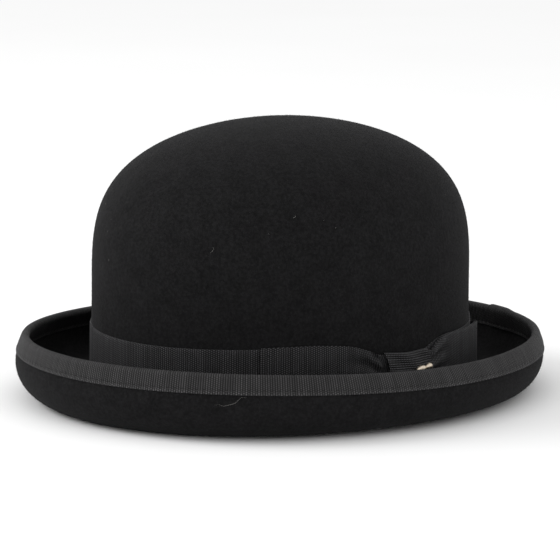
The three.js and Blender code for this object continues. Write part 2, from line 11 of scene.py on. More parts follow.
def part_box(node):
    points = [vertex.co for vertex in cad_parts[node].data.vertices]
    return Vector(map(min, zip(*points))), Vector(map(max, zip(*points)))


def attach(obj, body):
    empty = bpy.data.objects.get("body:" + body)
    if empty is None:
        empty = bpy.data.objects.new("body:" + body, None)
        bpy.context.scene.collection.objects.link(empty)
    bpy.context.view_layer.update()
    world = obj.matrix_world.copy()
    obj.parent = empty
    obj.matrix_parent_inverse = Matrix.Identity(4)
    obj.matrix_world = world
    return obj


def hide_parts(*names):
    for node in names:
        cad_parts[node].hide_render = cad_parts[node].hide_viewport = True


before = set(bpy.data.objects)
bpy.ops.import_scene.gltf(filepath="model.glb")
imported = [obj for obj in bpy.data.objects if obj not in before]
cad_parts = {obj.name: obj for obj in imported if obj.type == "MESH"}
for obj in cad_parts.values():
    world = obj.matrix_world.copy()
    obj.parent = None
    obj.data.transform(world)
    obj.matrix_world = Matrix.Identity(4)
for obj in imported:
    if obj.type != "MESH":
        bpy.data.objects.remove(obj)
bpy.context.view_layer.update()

bl_info = {
    "name": "Bowler Hat",
    "version": (1, 0, 0),
    "blender": (4, 5, 0),
    "location": "View3D > Sidebar > Hat",
    "description": "Builds a bound and banded bowler hat from its blocking sizes",
    "category": "Add Mesh",
}

MM = 0.001
TURN = 2 * np.pi
BODY = "root"

BAND_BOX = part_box("hat_band")
CROWN_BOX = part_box("felt_body")


# ---------------------------------------------------------------------------------------------
# Sizes and colours
# ---------------------------------------------------------------------------------------------

def length(name, default_mm, description):
    """A length property, with its default given in millimetres."""
    return bpy.props.FloatProperty(
        name=name, description=description, default=default_mm * MM, unit="LENGTH", precision=5)


def angle(name, default_degrees, description):
    """An angle property, with its default given in degrees."""
    return bpy.props.FloatProperty(
        name=name, description=description, default=np.radians(default_degrees), unit="ROTATION")


def number(name, default, description):
    """A plain number property."""
    return bpy.props.FloatProperty(name=name, description=description, default=default)


def count(name, default, description):
    """A whole number property."""
    return bpy.props.IntProperty(name=name, description=description, default=default, min=1)


def colour(name, default, description):
    """A linear colour property."""
    return bpy.props.FloatVectorProperty(
        name=name, description=description, default=default, subtype="COLOR", size=3,
        min=0.0, max=1.0)


def place_of(name, default, description):
    """A place property, in metres."""
    return bpy.props.FloatVectorProperty(
        name=name, description=description, default=default, subtype="TRANSLATION", unit="LENGTH",
        size=3)


class HatBlock(bpy.types.PropertyGroup):
    """The blocked felt: crown and brim."""
    height: length("Height", CROWN_BOX[1][2] / MM, "Table to the top of the crown")
    half_width: length("Half width", BAND_BOX[1][0] / MM - 1.0, "Outer felt at the headline")
    half_length: length("Half length", BAND_BOX[1][1] / MM - 1.0, "Outer felt at the headline")
    taper: number("Taper", 0.005, "Share of its width that the wall loses on the way up")
    dome_start: length("Dome start", 55.4, "Height at which the wall begins to round over")
    dome_round: number("Dome roundness", 1.934, "Exponent of the dome across the hat")
    dome_full: number("Dome fullness", 3.463, "Exponent of the dome up the hat")
    felt: length("Felt", 3.0, "Thickness of the felt")
    crease: length("Crease radius", 3.6, "Top side of the crease between crown and brim")
    sway: length("Headline sway", 1.25, "Rise and dip of the headline round the hat")
    droop: angle("Brim droop", 4.4, "Slope of the brim before it curls")
    flat: length("Brim flat", 16.6, "Straight part of the brim")
    flat_sides: length("More at the sides", 1.4, "Added to the flat at the sides")
    flat_back: length("More at the back", 0.36, "Added to the flat at the back")
    curl: length("Curl radius", 15.8, "Middle of the felt in the curl")
    curl_sides: length("Curl at the sides", -2.1, "Added to the curl radius at the sides")
    curl_turn: angle("Curl turn", 120.0, "Angle through which the brim curls")
    turn_sides: angle("Turn at the sides", 12.0, "Added to the turn at the sides")
    turn_back: angle("Turn at the back", -1.6, "Added to the turn at the back")
    lip: length("Lip", 4.6, "Straight edge above the curl")
    lip_sides: length("Lip at the sides", -1.9, "Added to the lip at the sides")
    lip_back: length("Lip at the back", -1.6, "Added to the lip at the back")
    flatten: length("Rest flatten", 0.35, "Depth pressed flat where the brim rests")
    wander: length("Unevenness", 0.15, "How far the hand-blocked shape wanders")
    columns: count("Columns", 480, "Steps round the felt")


class HatRibbons(bpy.types.PropertyGroup):
    """The grosgrain outside the hat."""
    gap: length("Gap", 0.3, "Room under a ribbon")
    thick: length("Ribbon thickness", 0.7, "Thickness of the grosgrain")
    rib: length("Rib pitch", 1.15, "Distance from rib to rib")
    rib_height: length("Rib height", 0.2, "Height of a rib")
    dot: length("Dot pitch", 0.95, "Distance from dot to dot along a rib")
    band_width: length("Band width", 31.0, "Width of the band")
    band_foot: length("Band foot", 2.6, "Height of the band's lower edge above the headline")
    bind_outside: length("Binding outside", 8.1, "How far the binding reaches down outside")
    bind_inside: length("Binding inside", 9.2, "How far the binding reaches down inside")
    bind_join: angle("Binding join", 78.0, "Where the binding's ends overlap")
    bind_lap: angle("Binding lap", 4.0, "Length of the overlap")
    stitch_pitch: length("Stitch pitch", 3.45, "Distance from stitch to stitch in the binding")
    stitch_inset: length("Stitch inset", 1.5, "From the selvedge to the line of stitches")
    band_seam: length("Band seam", 1.0, "Between the band's ends, under the knot")
    band_tuck: length("Band tuck", 1.0, "The gathered band stays this far inside the bow's edges")
    band_release: length("Band release", 18.0, "Past the bow the band regains its width over this")
    bow_offset: length("Bow place", -2.3, "The bow's middle is this far behind the side's")
    bow_length: length("Bow half length", 76.0, "Middle of the knot to the end of a wing")
    bow_width: length("Bow width", 33.0, "Width of the bow's ribbon")
    bow_thick: length("Bow ribbon thickness", 0.55, "Thickness of the bow's ribbon over its ribs")
    bow_rib: length("Bow rib pitch", 1.1, "Distance from rib to rib in the bow")
    bow_pleat: length("Bow pleat", 1.9, "Height of the pleats beside the knot")
    bow_puff: length("Bow puff", 0.5, "Swell of a wing's front layer")
    upper_fan: length("Upper fan", 4.5, "How far the ribs fan out at the rear wing's upper edge")
    other_fan: length("Other fan", 2.6, "How far the ribs fan out at the other edges")
    bow_pinch: length("Bow pinch", 22.0, "Height of the bow where the knot gathers it")
    pinch_run: length("Pinch run", 22.0, "Length over which a wing widens again")
    bow_sag: length("Bow sag", 3.1, "Knot and rear wing hang this much below the band's middle")
    sag_run: length("Sag run", 42.0, "Length over which the front wing rises to the band's middle")
    rear_flare: length("Rear wing flare", 2.2, "The rear wing's end stands this far off")
    knot_length: length("Knot half length", 14.0, "Half the knot's ribbon width")
    knot_fall: length("Knot fall", 0.9, "The knot's rear end hangs this much below its middle")
    knot_bulge: length("Knot bulge", 1.8, "Swell of the knot's face")
    pin_along: length("Pin place", 6.8, "Behind the bow's middle")
    pin_rise: length("Pin rise", 3.8, "Above the knot's middle line")
    pin_half: length("Pin half length", 5.4, "Half the length of the pin's head")
    pin_ball: length("Pin ball", 2.0, "Radius of the ball at the pin's end")
    pin_tilt: angle("Pin tilt", 4.0, "Rise of the pin towards its ball")


class HatInside(bpy.types.PropertyGroup):
    """The trim inside the head opening."""
    tape: length("Tape thickness", 0.35, "Thickness of tape, strip and lining")
    tape_tail: length("Tape tail", 9.0, "Height of the tape's tail above the headline")
    reed: length("Reed radius", 0.8, "Radius of the reed")
    reed_drop: length("Reed drop", 0.5, "The reed's middle lies this far below the headline")
    leather: length("Leather thickness", 0.9, "Thickness of the sweatband")
    band_height: length("Sweatband height", 44.0, "Height of the sweatband")
    band_gap: length("Sweatband gap", 1.6, "Gap between the sweatband's ends")
    tuck: length("Lining tuck", 7.0, "Length of lining behind the sweatband")
    loose: length("Lining looseness", 2.2, "How far the lining hangs off the dome")
    seam: angle("Lining seam", 47.0, "Where the side lining meets the tip")
    strip: length("Join strip width", 14.0, "Width of the patch behind the gap")
    bow_length: length("Small bow half length", 15.0, "Half the small bow")
    bow_width: length("Small bow width", 8.0, "Width of the small bow's ribbon")
    bow_pinch: length("Small bow pinch", 5.0, "Height of the small bow at its knot")
    knot_length: length("Small knot half length", 2.6, "Half the small knot's width")
    pinch_run: length("Small pinch run", 8.0, "Length over which a small wing widens again")
    knot_bulge: length("Small knot bulge", 0.4, "Swell of the small knot's face")
    bow_height: length("Small bow height", 14.0, "Its middle above the sweatband's lower edge")
    bow_rib: length("Small rib pitch", 0.7, "Distance from rib to rib in the small bow")
    bow_dot: length("Small dot pitch", 0.4, "Distance from dot to dot in the small bow")
    rib_height: length("Small rib height", 0.06, "Height of a rib in the small bow")
    bow_pleat: length("Small pleat", 0.35, "Height of the pleats beside the small knot")
    bow_puff: length("Small puff", 0.3, "Swell of a small wing's front layer")


class HatColours(bpy.types.PropertyGroup):
    """Linear colours of the finishes."""
    felt: colour("Felt", (0.0084, 0.0083, 0.0086), "Dyed felt")
    felt_nap: colour("Nap", (0.0205, 0.0200, 0.0211), "Tips of the raised nap")
    binding: colour("Binding", (0.0228, 0.0221, 0.0227), "Grosgrain of the binding")
    band: colour("Band", (0.024, 0.0235, 0.0250), "Grosgrain of the band and bow")
    pin: colour("Pin", (0.66, 0.57, 0.46), "Plated metal of the pin")
    leather: colour("Leather", (0.020, 0.0165, 0.0150), "Sweatband leather")
    lining: colour("Lining", (0.013, 0.013, 0.016), "Satin lining")
    thread: colour("Thread", (0.060, 0.0585, 0.059), "Sewing thread of the binding")
    dark_thread: colour("Dark thread", (0.007, 0.007, 0.007), "Sewing thread elsewhere")
    tape: colour("Tape", (0.014, 0.014, 0.015), "Cotton tape")
    reed: colour("Reed", (0.30, 0.28, 0.25), "Bare reed")
    lint: colour("Lint", (0.26, 0.25, 0.24), "Specks of lint")


class HatStudio(bpy.types.PropertyGroup):
    """The floor, the lights and the camera."""
    azimuth: angle("Azimuth", 47.08, "Camera's place round the hat, from the front")
    elevation: angle("Elevation", 9.65, "Camera's height above the horizon")
    roll: angle("Roll", 0.4, "Camera's roll")
    distance: length("Distance", 1550.5, "Camera to the point that it looks at")
    aim_side: length("Aim to the side", -1.05, "The point looked at, to the camera's right")
    aim_height: length("Aim height", 56.6, "Height of the point looked at")
    lens: number("Lens", 193.56, "Focal length in millimetres")
    sensor: number("Sensor", 36.0, "Width of the camera's sensor in millimetres")
    sky: number("Sky", 1.0, "Strength of the white surroundings")
    key: number("Key light", 15.0, "Power of the light at the front")
    key_place: place_of("Key light place", (-1.15, -1.05, 1.05), "Place of the light at the front")
    fill: number("Fill light", 1.0, "Power of the light at the bow side")
    fill_place: place_of("Fill light place", (1.5, -0.35, 0.9), "Place of the light at the side")
    lamp: length("Lamp size", 900.0, "Side of each square light")
    floor: length("Floor radius", 6000.0, "Radius of the round floor")


GROUPS = {
    "hat_block": HatBlock,
    "hat_ribbons": HatRibbons,
    "hat_inside": HatInside,
    "hat_colours": HatColours,
    "hat_studio": HatStudio,
}


def sizes(name):
    """One of the hat's property groups, from the scene."""
    return getattr(bpy.context.scene, name)


# ---------------------------------------------------------------------------------------------
# The shape of the blocked felt
# ---------------------------------------------------------------------------------------------

ARC_STEPS = 7200  # sides of the polygon whose chords give lengths along a closed curve


def oval(t):
    """The headline ellipse at angle t: x, y, its outward normal, and how far t is to the side
    (1, or -1 at the ends) and to the back (1, or -1 at the front)."""
    block = sizes("hat_block")
    x, y = block.half_width * np.cos(t), block.half_length * np.sin(t)
    nx, ny = np.cos(t) / block.half_width, np.sin(t) / block.half_length
    norm = np.hypot(nx, ny)
    polar = np.arctan2(y, x)
    return x, y, nx / norm, ny / norm, np.cos(2 * polar), np.sin(polar)


def oval_angle(along):
    """The ellipse angle at an arc length from the middle of the left side, by interpolating
    the summed chords of a fine polygon."""
    steps = np.linspace(-TURN, 2 * TURN, 3 * ARC_STEPS + 1)
    x, y = oval(steps)[:2]
    arc = np.concatenate([[0.0], np.cumsum(np.hypot(np.diff(x), np.diff(y)))])
    return np.interp(along, arc - arc[ARC_STEPS], steps)


def head_arc():
    """Length of the headline ellipse."""
    x, y = oval(np.linspace(0, TURN, ARC_STEPS + 1))[:2]
    return float(np.hypot(np.diff(x), np.diff(y)).sum())


def brim_at(t):
    """Flat, curl radius, curl turn and lip of the brim at angle t, each a mean value plus a
    share of how far t is to the side and to the back."""
    block = sizes("hat_block")
    side, back = oval(t)[4:]
    return (block.flat + block.flat_sides * side + block.flat_back * back,
            block.curl + block.curl_sides * side,
            block.curl_turn + block.turn_sides * side + block.turn_back * back,
            block.lip + block.lip_sides * side + block.lip_back * back)


def headline(t):
    """Height of the headline: the front's, at which the brim just rests, plus its sway."""
    block = sizes("hat_block")
    flat, radius = brim_at(-np.pi / 2)[:2]
    front = (block.felt + flat * np.sin(block.droop) + radius * (1 - np.cos(block.droop))
             - block.flatten)
    return front + block.sway * (1 + oval(t)[4])


def section(t, out, height):
    """A point at a distance out from the headline ellipse along its normal, at a height."""
    x, y, nx, ny = oval(t)[:4]
    return np.stack(np.broadcast_arrays(x + nx * out, y + ny * out, height), -1)


def wall(t, height, out):
    """The upright wall: the ellipse, narrowed a little with height, moved out along its normal."""
    block = sizes("hat_block")
    x, y, nx, ny = oval(t)[:4]
    foot = headline(t) + block.crease
    scale = 1 - block.taper * np.clip((height - foot) / (block.dome_start - foot), 0, 1)
    return np.stack(np.broadcast_arrays(x * scale + nx * out, y * scale + ny * out, height), -1)


def dome(t, climb, out):
    """The dome: a superellipse whose reach is a power of the cosine of climb and whose rise is a
    power of its sine, moved out along its own normal."""
    block = sizes("hat_block")
    reach = np.maximum(np.cos(climb), 0) ** (2 / block.dome_round)
    rise = np.sin(climb) ** (2 / block.dome_full)
    width, length_ = block.half_width * (1 - block.taper), block.half_length * (1 - block.taper)
    tall = block.height - block.dome_start
    across = block.dome_round * reach ** (block.dome_round - 1)
    normal = np.stack(np.broadcast_arrays(
        across * np.cos(t) / width, across * np.sin(t) / length_,
        block.dome_full * rise ** (block.dome_full - 1) / tall), -1)
    normal = normal / np.linalg.norm(normal, axis=-1, keepdims=True)
    base = np.stack(np.broadcast_arrays(
        width * reach * np.cos(t), length_ * reach * np.sin(t),
        block.dome_start + tall * rise), -1)
    return base + normal * np.asarray(out)[..., None]


def crease(t, turned, side):
    """The crease: an arc from the upright wall, at 0, to the sloping brim. side is the distance
    from the middle of the felt towards its top face."""
    block = sizes("hat_block")
    middle = block.crease + block.felt / 2
    return section(t, block.crease - (middle - side) * np.cos(turned),
                   headline(t) + block.crease - (middle - side) * np.sin(turned))


def flat_start():
    """Where the brim's straight part starts: its distance out, and its height over the headline."""
    block = sizes("hat_block")
    middle = block.crease + block.felt / 2
    return (block.crease - middle * np.sin(block.droop),
            block.crease - middle * np.cos(block.droop))


def brim_flat(t, share, side):
    """The straight part of the brim, a line that slopes down by the droop."""
    block = sizes("hat_block")
    out, rise = flat_start()
    run = brim_at(t)[0] * share
    return section(t, out + run * np.cos(block.droop) + side * np.sin(block.droop),
                   headline(t) + rise - run * np.sin(block.droop) + side * np.cos(block.droop))


def curl(t, slope, lip, side):
    """The curl: an arc on which slope is the felt's direction, carried on by the straight lip."""
    block = sizes("hat_block")
    out, rise = flat_start()
    flat, radius = brim_at(t)[:2]
    centre_out = out + flat * np.cos(block.droop) + radius * np.sin(block.droop)
    centre_up = headline(t) + rise - flat * np.sin(block.droop) + radius * np.cos(block.droop)
    return section(t, centre_out + (radius - side) * np.sin(slope) + lip * np.cos(slope),
                   centre_up - (radius - side) * np.cos(slope) + lip * np.sin(slope))


def near_edge(t, back, side):
    """A point a distance back from the end of the felt: on the lip, or else on the curl."""
    block = sizes("hat_block")
    _, radius, turn, lip = brim_at(t)
    end = turn - block.droop
    return curl(t, end - np.maximum(back - lip, 0) / radius, np.maximum(lip - back, 0), side)


def round_edge(t, sweep, distance):
    """A half circle round the end of the felt, from its outside at 0 to its inside at 1."""
    block = sizes("hat_block")
    _, _, turn, lip = brim_at(t)
    around = (sweep - 0.5) * np.pi
    return curl(t, turn - block.droop, lip + distance * np.cos(around),
                distance * np.sin(around))


def unevenness(points):
    """Moves points by a slow sum of sines in their place, as hand blocking leaves a hat, and
    fades it out towards the table."""
    amount = sizes("hat_block").wander
    x, y, z = (points[..., k] for k in range(3))
    fade = np.clip(z / 0.012, 0, 1)
    dx = np.sin(31 * y + 17 * z + 0.6) + 0.6 * np.sin(53 * y - 44 * z + 2.1)
    dy = np.sin(29 * x - 21 * z + 1.9) + 0.6 * np.sin(57 * x + 39 * z + 0.4)
    dz = 0.7 * np.sin(37 * x + 23 * y + 1.1)
    return points + amount * 0.5 * fade[..., None] * np.stack([dx, dy, dz], -1)


def smoothstep(low, high, value):
    """A smooth rise from 0 to 1 as value goes from low to high."""
    share = np.clip((value - low) / (high - low), 0, 1)
    return share * share * (3 - 2 * share)


# ---------------------------------------------------------------------------------------------
# Meshes
# ---------------------------------------------------------------------------------------------

def solid(name, vertices, loops, lengths, material, uv=None, turn_in=False, sharp=65.0):
    """Makes a piece from arrays: vertices, the corners of all faces in a row, and the number of
    corners of each face. It shades smooth between faces that meet below the sharp angle."""
    used, loops = np.unique(loops, return_inverse=True)
    mesh = bpy.data.meshes.new(name)
    mesh.vertices.add(len(used))
    mesh.vertices.foreach_set("co", vertices[used].astype(np.float32).ravel())
    mesh.loops.add(len(loops))
    mesh.loops.foreach_set("vertex_index", loops.astype(np.int32).ravel())
    mesh.polygons.add(len(lengths))
    starts = np.concatenate([[0], np.cumsum(lengths)[:-1]])
    mesh.polygons.foreach_set("loop_start", starts.astype(np.int32))
    mesh.update(calc_edges=True)
    if uv is not None:
        mesh.uv_layers.new(name="Weave").data.foreach_set("uv", uv.astype(np.float32).ravel())
    if turn_in:
        mesh.flip_normals()
    mesh.validate()
    mesh.shade_smooth()
    mesh.set_sharp_from_angle(angle=np.radians(sharp))
    mesh.materials.append(material)
    piece = bpy.data.objects.new(name, mesh)
    bpy.context.scene.collection.objects.link(piece)
    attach(piece, BODY)
    return piece


def skin(name, points, material, closed=(True, True), uv=None, sharp=65.0):
    """Skins a grid of points[row, column]. closed tells whether the rows, and the columns, go
    round and meet. Open rows end in a pole, where a row's points coincide, and open columns end
    in a flat cap. uv is a pair of grids, one longer than points wherever the grid goes round."""
    rows, columns = points.shape[:2]
    index = np.arange(rows * columns).reshape(rows, columns)
    if not closed[0]:
        index[0] = index[0, 0]
        index[-1] = index[-1, 0]
    index = np.pad(index, ((0, int(closed[0])), (0, int(closed[1]))), mode="wrap")

    def corners(grid):
        return np.stack([grid[:-1, :-1], grid[:-1, 1:], grid[1:, 1:], grid[1:, :-1]], -1)

    quads = corners(index).reshape(-1, 4)
    if uv is None:
        uv = (np.zeros(index.shape), np.zeros(index.shape))
    places = np.stack([corners(np.broadcast_to(part, index.shape)) for part in uv], -1)
    places = places.reshape(-1, 4, 2)
    first, last = quads[:, 0] == quads[:, 1], quads[:, 2] == quads[:, 3]
    plain = ~(first | last)
    groups = [(plain, [0, 1, 2, 3]), (first, [0, 2, 3]), (last, [0, 1, 2])]
    loops = [quads[kind][:, order].ravel() for kind, order in groups]
    lengths = [np.full(kind.sum(), len(order)) for kind, order in groups]
    corner_uv = [places[kind][:, order].reshape(-1, 2) for kind, order in groups]
    if not closed[1]:
        loops += [index[:-1, 0], index[:-1, -1][::-1]]
        lengths.append(np.full(2, rows))
        corner_uv.append(np.zeros((2 * rows, 2)))
    flat = points.reshape(-1, 3)
    a, b, c, d = (flat[quads[:, k]] for k in range(4))
    volume = (a * (np.cross(b, c) + np.cross(c, d))).sum()
    return solid(name, flat, np.concatenate(loops), np.concatenate(lengths), material,
                 np.concatenate(corner_uv), volume < 0, sharp)


def strew(name, points, faces, material):
    """Repeats one small set of faces over every row of points[copy, corner]."""
    copies, corners = points.shape[:2]
    order = np.concatenate(faces)
    loops = (np.arange(copies)[:, None] * corners + order).ravel()
    lengths = np.tile([len(face) for face in faces], copies)
    return solid(name, points.reshape(-1, 3), loops, lengths, material)


def tube_faces(rings, sides):
    """Faces of a tube of rings with a flat end at both of its ends."""
    faces = [np.arange(sides)[::-1], (rings - 1) * sides + np.arange(sides)]
    for ring in range(rings - 1):
        for side in range(sides):
            a, b = ring * sides + side, ring * sides + (side + 1) % sides
            faces.append(np.array([a, b, b + sides, a + sides]))
    return faces


def unit(vectors):
    """Vectors at length one."""
    return vectors / np.linalg.norm(vectors, axis=-1, keepdims=True)


def stitches(name, middle, along, outward, length_, radius, material):
    """One short thread at each middle: a tube along its stitch that bows outwards, thin at both
    ends where it dives into the cloth."""
    rings, sides = 5, 5
    share = np.linspace(-1, 1, rings)
    girth = radius * np.array([0.35, 0.9, 1.0, 0.9, 0.35])
    around = np.arange(sides) / sides * TURN
    across = unit(np.cross(along, outward))
    spine = (middle[:, None] + along[:, None] * (share * length_ / 2)[:, None]
             - outward[:, None] * (radius * 1.6 * share ** 2)[:, None])
    offset = (across[:, None, None] * np.cos(around)[:, None]
              + outward[:, None, None] * np.sin(around)[:, None])
    points = spine[:, :, None] + offset * girth[:, None, None]
    points = points.reshape(len(middle), rings * sides, 3)
    return strew(name, points, tube_faces(rings, sides), material)


def tangents(points):
    """Unit direction along a closed ring of points."""
    return unit(np.roll(points, -1, axis=0) - np.roll(points, 1, axis=0))


def even_angles(ring, start, end, steps):
    """Angles from start to end, an equal length apart along the curve that ring gives."""
    fine = np.linspace(start, end, ARC_STEPS + 1)
    points = ring(fine)
    arc = np.concatenate([[0.0], np.cumsum(np.linalg.norm(np.diff(points, axis=0), axis=-1))])
    return np.interp(np.linspace(0, arc[-1], steps), arc, fine), arc[-1]


def rib_wave(columns, per_rib):
    """Height of the ribs over a row of columns, from 0 in a furrow to 1: one parabola a rib."""
    phase = (np.arange(columns) % per_rib) / per_rib
    return 1 - (2 * phase - 1) ** 2


def sheet_ring(face, other):
    """Joins one face of a sheet to the other, as the outline of its thickness. Both faces are
    grids whose rows run across the sheet."""
    return np.concatenate([face, other[::-1]], axis=0)


def edge_fade(share, width, fade):
    """1 over the middle of a ribbon, falling to 0 at both of its edges within about a fade."""
    near = np.minimum(share, 1 - share) * width
    return 1 - np.exp(-(near / fade) ** 2)


# ---------------------------------------------------------------------------------------------
# Felt
# ---------------------------------------------------------------------------------------------

DOME_CROWDING = 1.6  # rows of the dome draw together towards its top by this power


def shares(steps, first=False):
    """A column of even shares from 0 to 1, without the first unless it is asked for."""
    values = np.linspace(0, 1, steps + 1)[:, None]
    return values if first else values[1:]


def felt_face(t, side, steps):
    """One face of the whole felt, from the top of the crown to the end of the lip: the dome, the
    wall, the crease, the straight brim, the curl and the lip, one after the other."""
    block = sizes("hat_block")
    out = side - block.felt / 2
    foot, end = headline(t) + block.crease, brim_at(t)[2] - block.droop
    on_dome, on_wall, on_crease, on_flat, on_curl, on_lip = steps
    return np.concatenate([
        dome(t, np.pi / 2 * (1 - shares(on_dome, True)) ** DOME_CROWDING, out),
        wall(t, block.dome_start + (foot - block.dome_start) * shares(on_wall), out),
        crease(t, (np.pi / 2 - block.droop) * shares(on_crease), side),
        brim_flat(t, shares(on_flat), side),
        curl(t, -block.droop + (end + block.droop) * shares(on_curl), 0.0, side),
        near_edge(t, brim_at(t)[3] * (1 - shares(on_lip)), side)])


def bare_end(t):
    """Slope of the curl where the felt goes under the binding: the curl's own end, less the part
    of the binding that reaches below the lip, over the curl's radius."""
    _, radius, turn, lip = brim_at(t)
    covered = np.maximum(sizes("hat_ribbons").bind_outside - lip, 0)
    return turn - sizes("hat_block").droop - covered / radius


def felt_body():
    """The felt is one skin: its top face, round the edge, and its under face back to the crown."""
    block = sizes("hat_block")
    t = np.arange(block.columns) / block.columns * TURN
    top = felt_face(t, block.felt / 2, (56, 12, 8, 7, 22, 4))
    under = felt_face(t, -block.felt / 2, (24, 9, 6, 6, 18, 3))
    edge = round_edge(t, 1 - shares(6)[:-1], block.felt / 2)
    points = unevenness(np.concatenate([top, edge, under[::-1]]))
    points[..., 2] = np.maximum(points[..., 2], 0)
    piece = skin("felt_shell", points, finish("Felt"), closed=(False, True))
    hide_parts("felt_body")


HEAD_MIDDLE = (0, 0, 0.03)  # the felt's outer face looks away from this point
NAP_SHORTEST = 0.28 * MM
NAP_SPREAD = 0.62 * MM
NAP_GIRTH = 0.035 * MM
NAP_ROOT = 0.08 * MM


def nap(name, points, amount, seed):
    """Short spikes that stand out of a grid of points: each rises from a random place on a random
    cell, picked by area, and leans at random from the cell's normal. Most are short, because their
    reach grows with the square of a random number."""
    rng = np.random.default_rng(seed)
    a, b = points[:-1, :-1].reshape(-1, 3), points[:-1, 1:].reshape(-1, 3)
    c, d = points[1:, 1:].reshape(-1, 3), points[1:, :-1].reshape(-1, 3)
    normal = np.cross(c - a, d - b)
    area = np.linalg.norm(normal, axis=-1)
    cell = rng.choice(len(area), amount, p=area / area.sum())
    u, v = rng.random((2, amount, 1))
    place = ((1 - u) * (1 - v) * a[cell] + u * (1 - v) * b[cell] + u * v * c[cell]
             + (1 - u) * v * d[cell])
    up = normal[cell] / area[cell, None]
    up *= np.sign((up * (place - HEAD_MIDDLE)).sum(-1, keepdims=True))
    lean = unit(up + rng.normal(0, 0.75, (amount, 3)))
    lean = unit(lean + up * np.maximum(0.25 - (lean * up).sum(-1, keepdims=True), 0) * 2)
    side = unit(np.cross(lean, rng.normal(0, 1, (amount, 3))))
    other = np.cross(lean, side)
    reach = NAP_SHORTEST + NAP_SPREAD * rng.random((amount, 1)) ** 2
    root = place - up * NAP_ROOT
    ring = [root + NAP_GIRTH * (np.cos(k) * side + np.sin(k) * other)
            for k in np.arange(3) * TURN / 3]
    spikes = np.stack([*ring, place + lean * reach], 1)
    spikes[..., 2] = np.maximum(spikes[..., 2], 0)
    faces = [np.array(face) for face in ([0, 2, 1], [0, 1, 3], [1, 2, 3], [2, 0, 3])]
    strew(name, spikes, faces, finish("Nap"))


def felt_naps():
    """The raised nap on the crown above the band, and under the brim."""
    block, ribbons = sizes("hat_block"), sizes("hat_ribbons")
    t = np.linspace(0, TURN, 361)
    top = headline(t) + ribbons.band_foot + ribbons.band_width
    crown = np.concatenate([
        dome(t, np.pi / 2 * (1 - shares(40, True)) ** DOME_CROWDING, 0.0),
        wall(t, block.dome_start + (top - block.dome_start) * shares(6), 0.0)])
    nap("crown_nap", unevenness(crown), 40000, 3)
    slope = -block.droop + (bare_end(t) + block.droop) * shares(20)
    under = np.concatenate([
        brim_flat(t, 0.5 + 0.5 * shares(4, True), -block.felt / 2),
        curl(t, slope, 0.0, -block.felt / 2)])
    nap("brim_nap", unevenness(under), 30000, 4)


# ---------------------------------------------------------------------------------------------
# Grosgrain outside
# ---------------------------------------------------------------------------------------------

SNUG = 0.06 * MM  # a sewn ribbon lies this close to the felt
THREAD_SUNK = 0.33 * MM  # the binding's stitches lie this deep in its face
FRAYING = 0.5 * MM  # a ribbon thins out over about this distance from its edge
BINDING_CLIMB = np.radians(6)  # the binding's second end climbs over its first in this angle

# Rows of the binding from the selvedge, at 1, to the felt's edge, at 0. They are close together
# round the stitches.
BINDING_ROWS = np.array([1, 0.985, 0.96, 0.925, 0.885, 0.86, 0.84, 0.82, 0.795, 0.74, 0.62, 0.48,
                         0.34, 0.18, 0.0])[:, None]

# Rows across the band, from its lower edge to its upper.
BAND_ROWS = np.array([0, 0.012, 0.035, 0.08, 0.2, 0.35, 0.5, 0.65, 0.8, 0.92, 0.965, 0.988,
                      1])[:, None]


def binding_side(t, back, inside, lift, wave, rib):
    """Outer face of the binding on one side of the edge: the felt's own curve, moved out by the
    ribbon and its ribs, thinner at the selvedge. A groove follows the line of stitches and each
    stitch has a dimple, both bell curves of the distance."""
    block, ribbons = sizes("hat_block"), sizes("hat_ribbons")
    width = ribbons.bind_inside if inside else ribbons.bind_outside
    selvedge = np.exp(-((width - back) / (0.35 * MM)) ** 2)
    per_stitch = ribbons.stitch_pitch / ribbons.rib
    off = ((rib / per_stitch) % 1 - 0.5) * ribbons.stitch_pitch
    inward = width - ribbons.stitch_inset - back
    dimple = np.exp(-(inward / (0.42 * MM)) ** 2 - (off / (0.5 * MM)) ** 2)
    groove = np.exp(-(inward / (0.55 * MM)) ** 2)
    height = (ribbons.thick - ribbons.rib_height) * (1 - 0.3 * selvedge) + wave * ribbons.rib_height
    distance = block.felt / 2 + SNUG + lift + height - 0.34 * MM * dimple - 0.2 * MM * groove
    return near_edge(t, back, distance if inside else -distance)


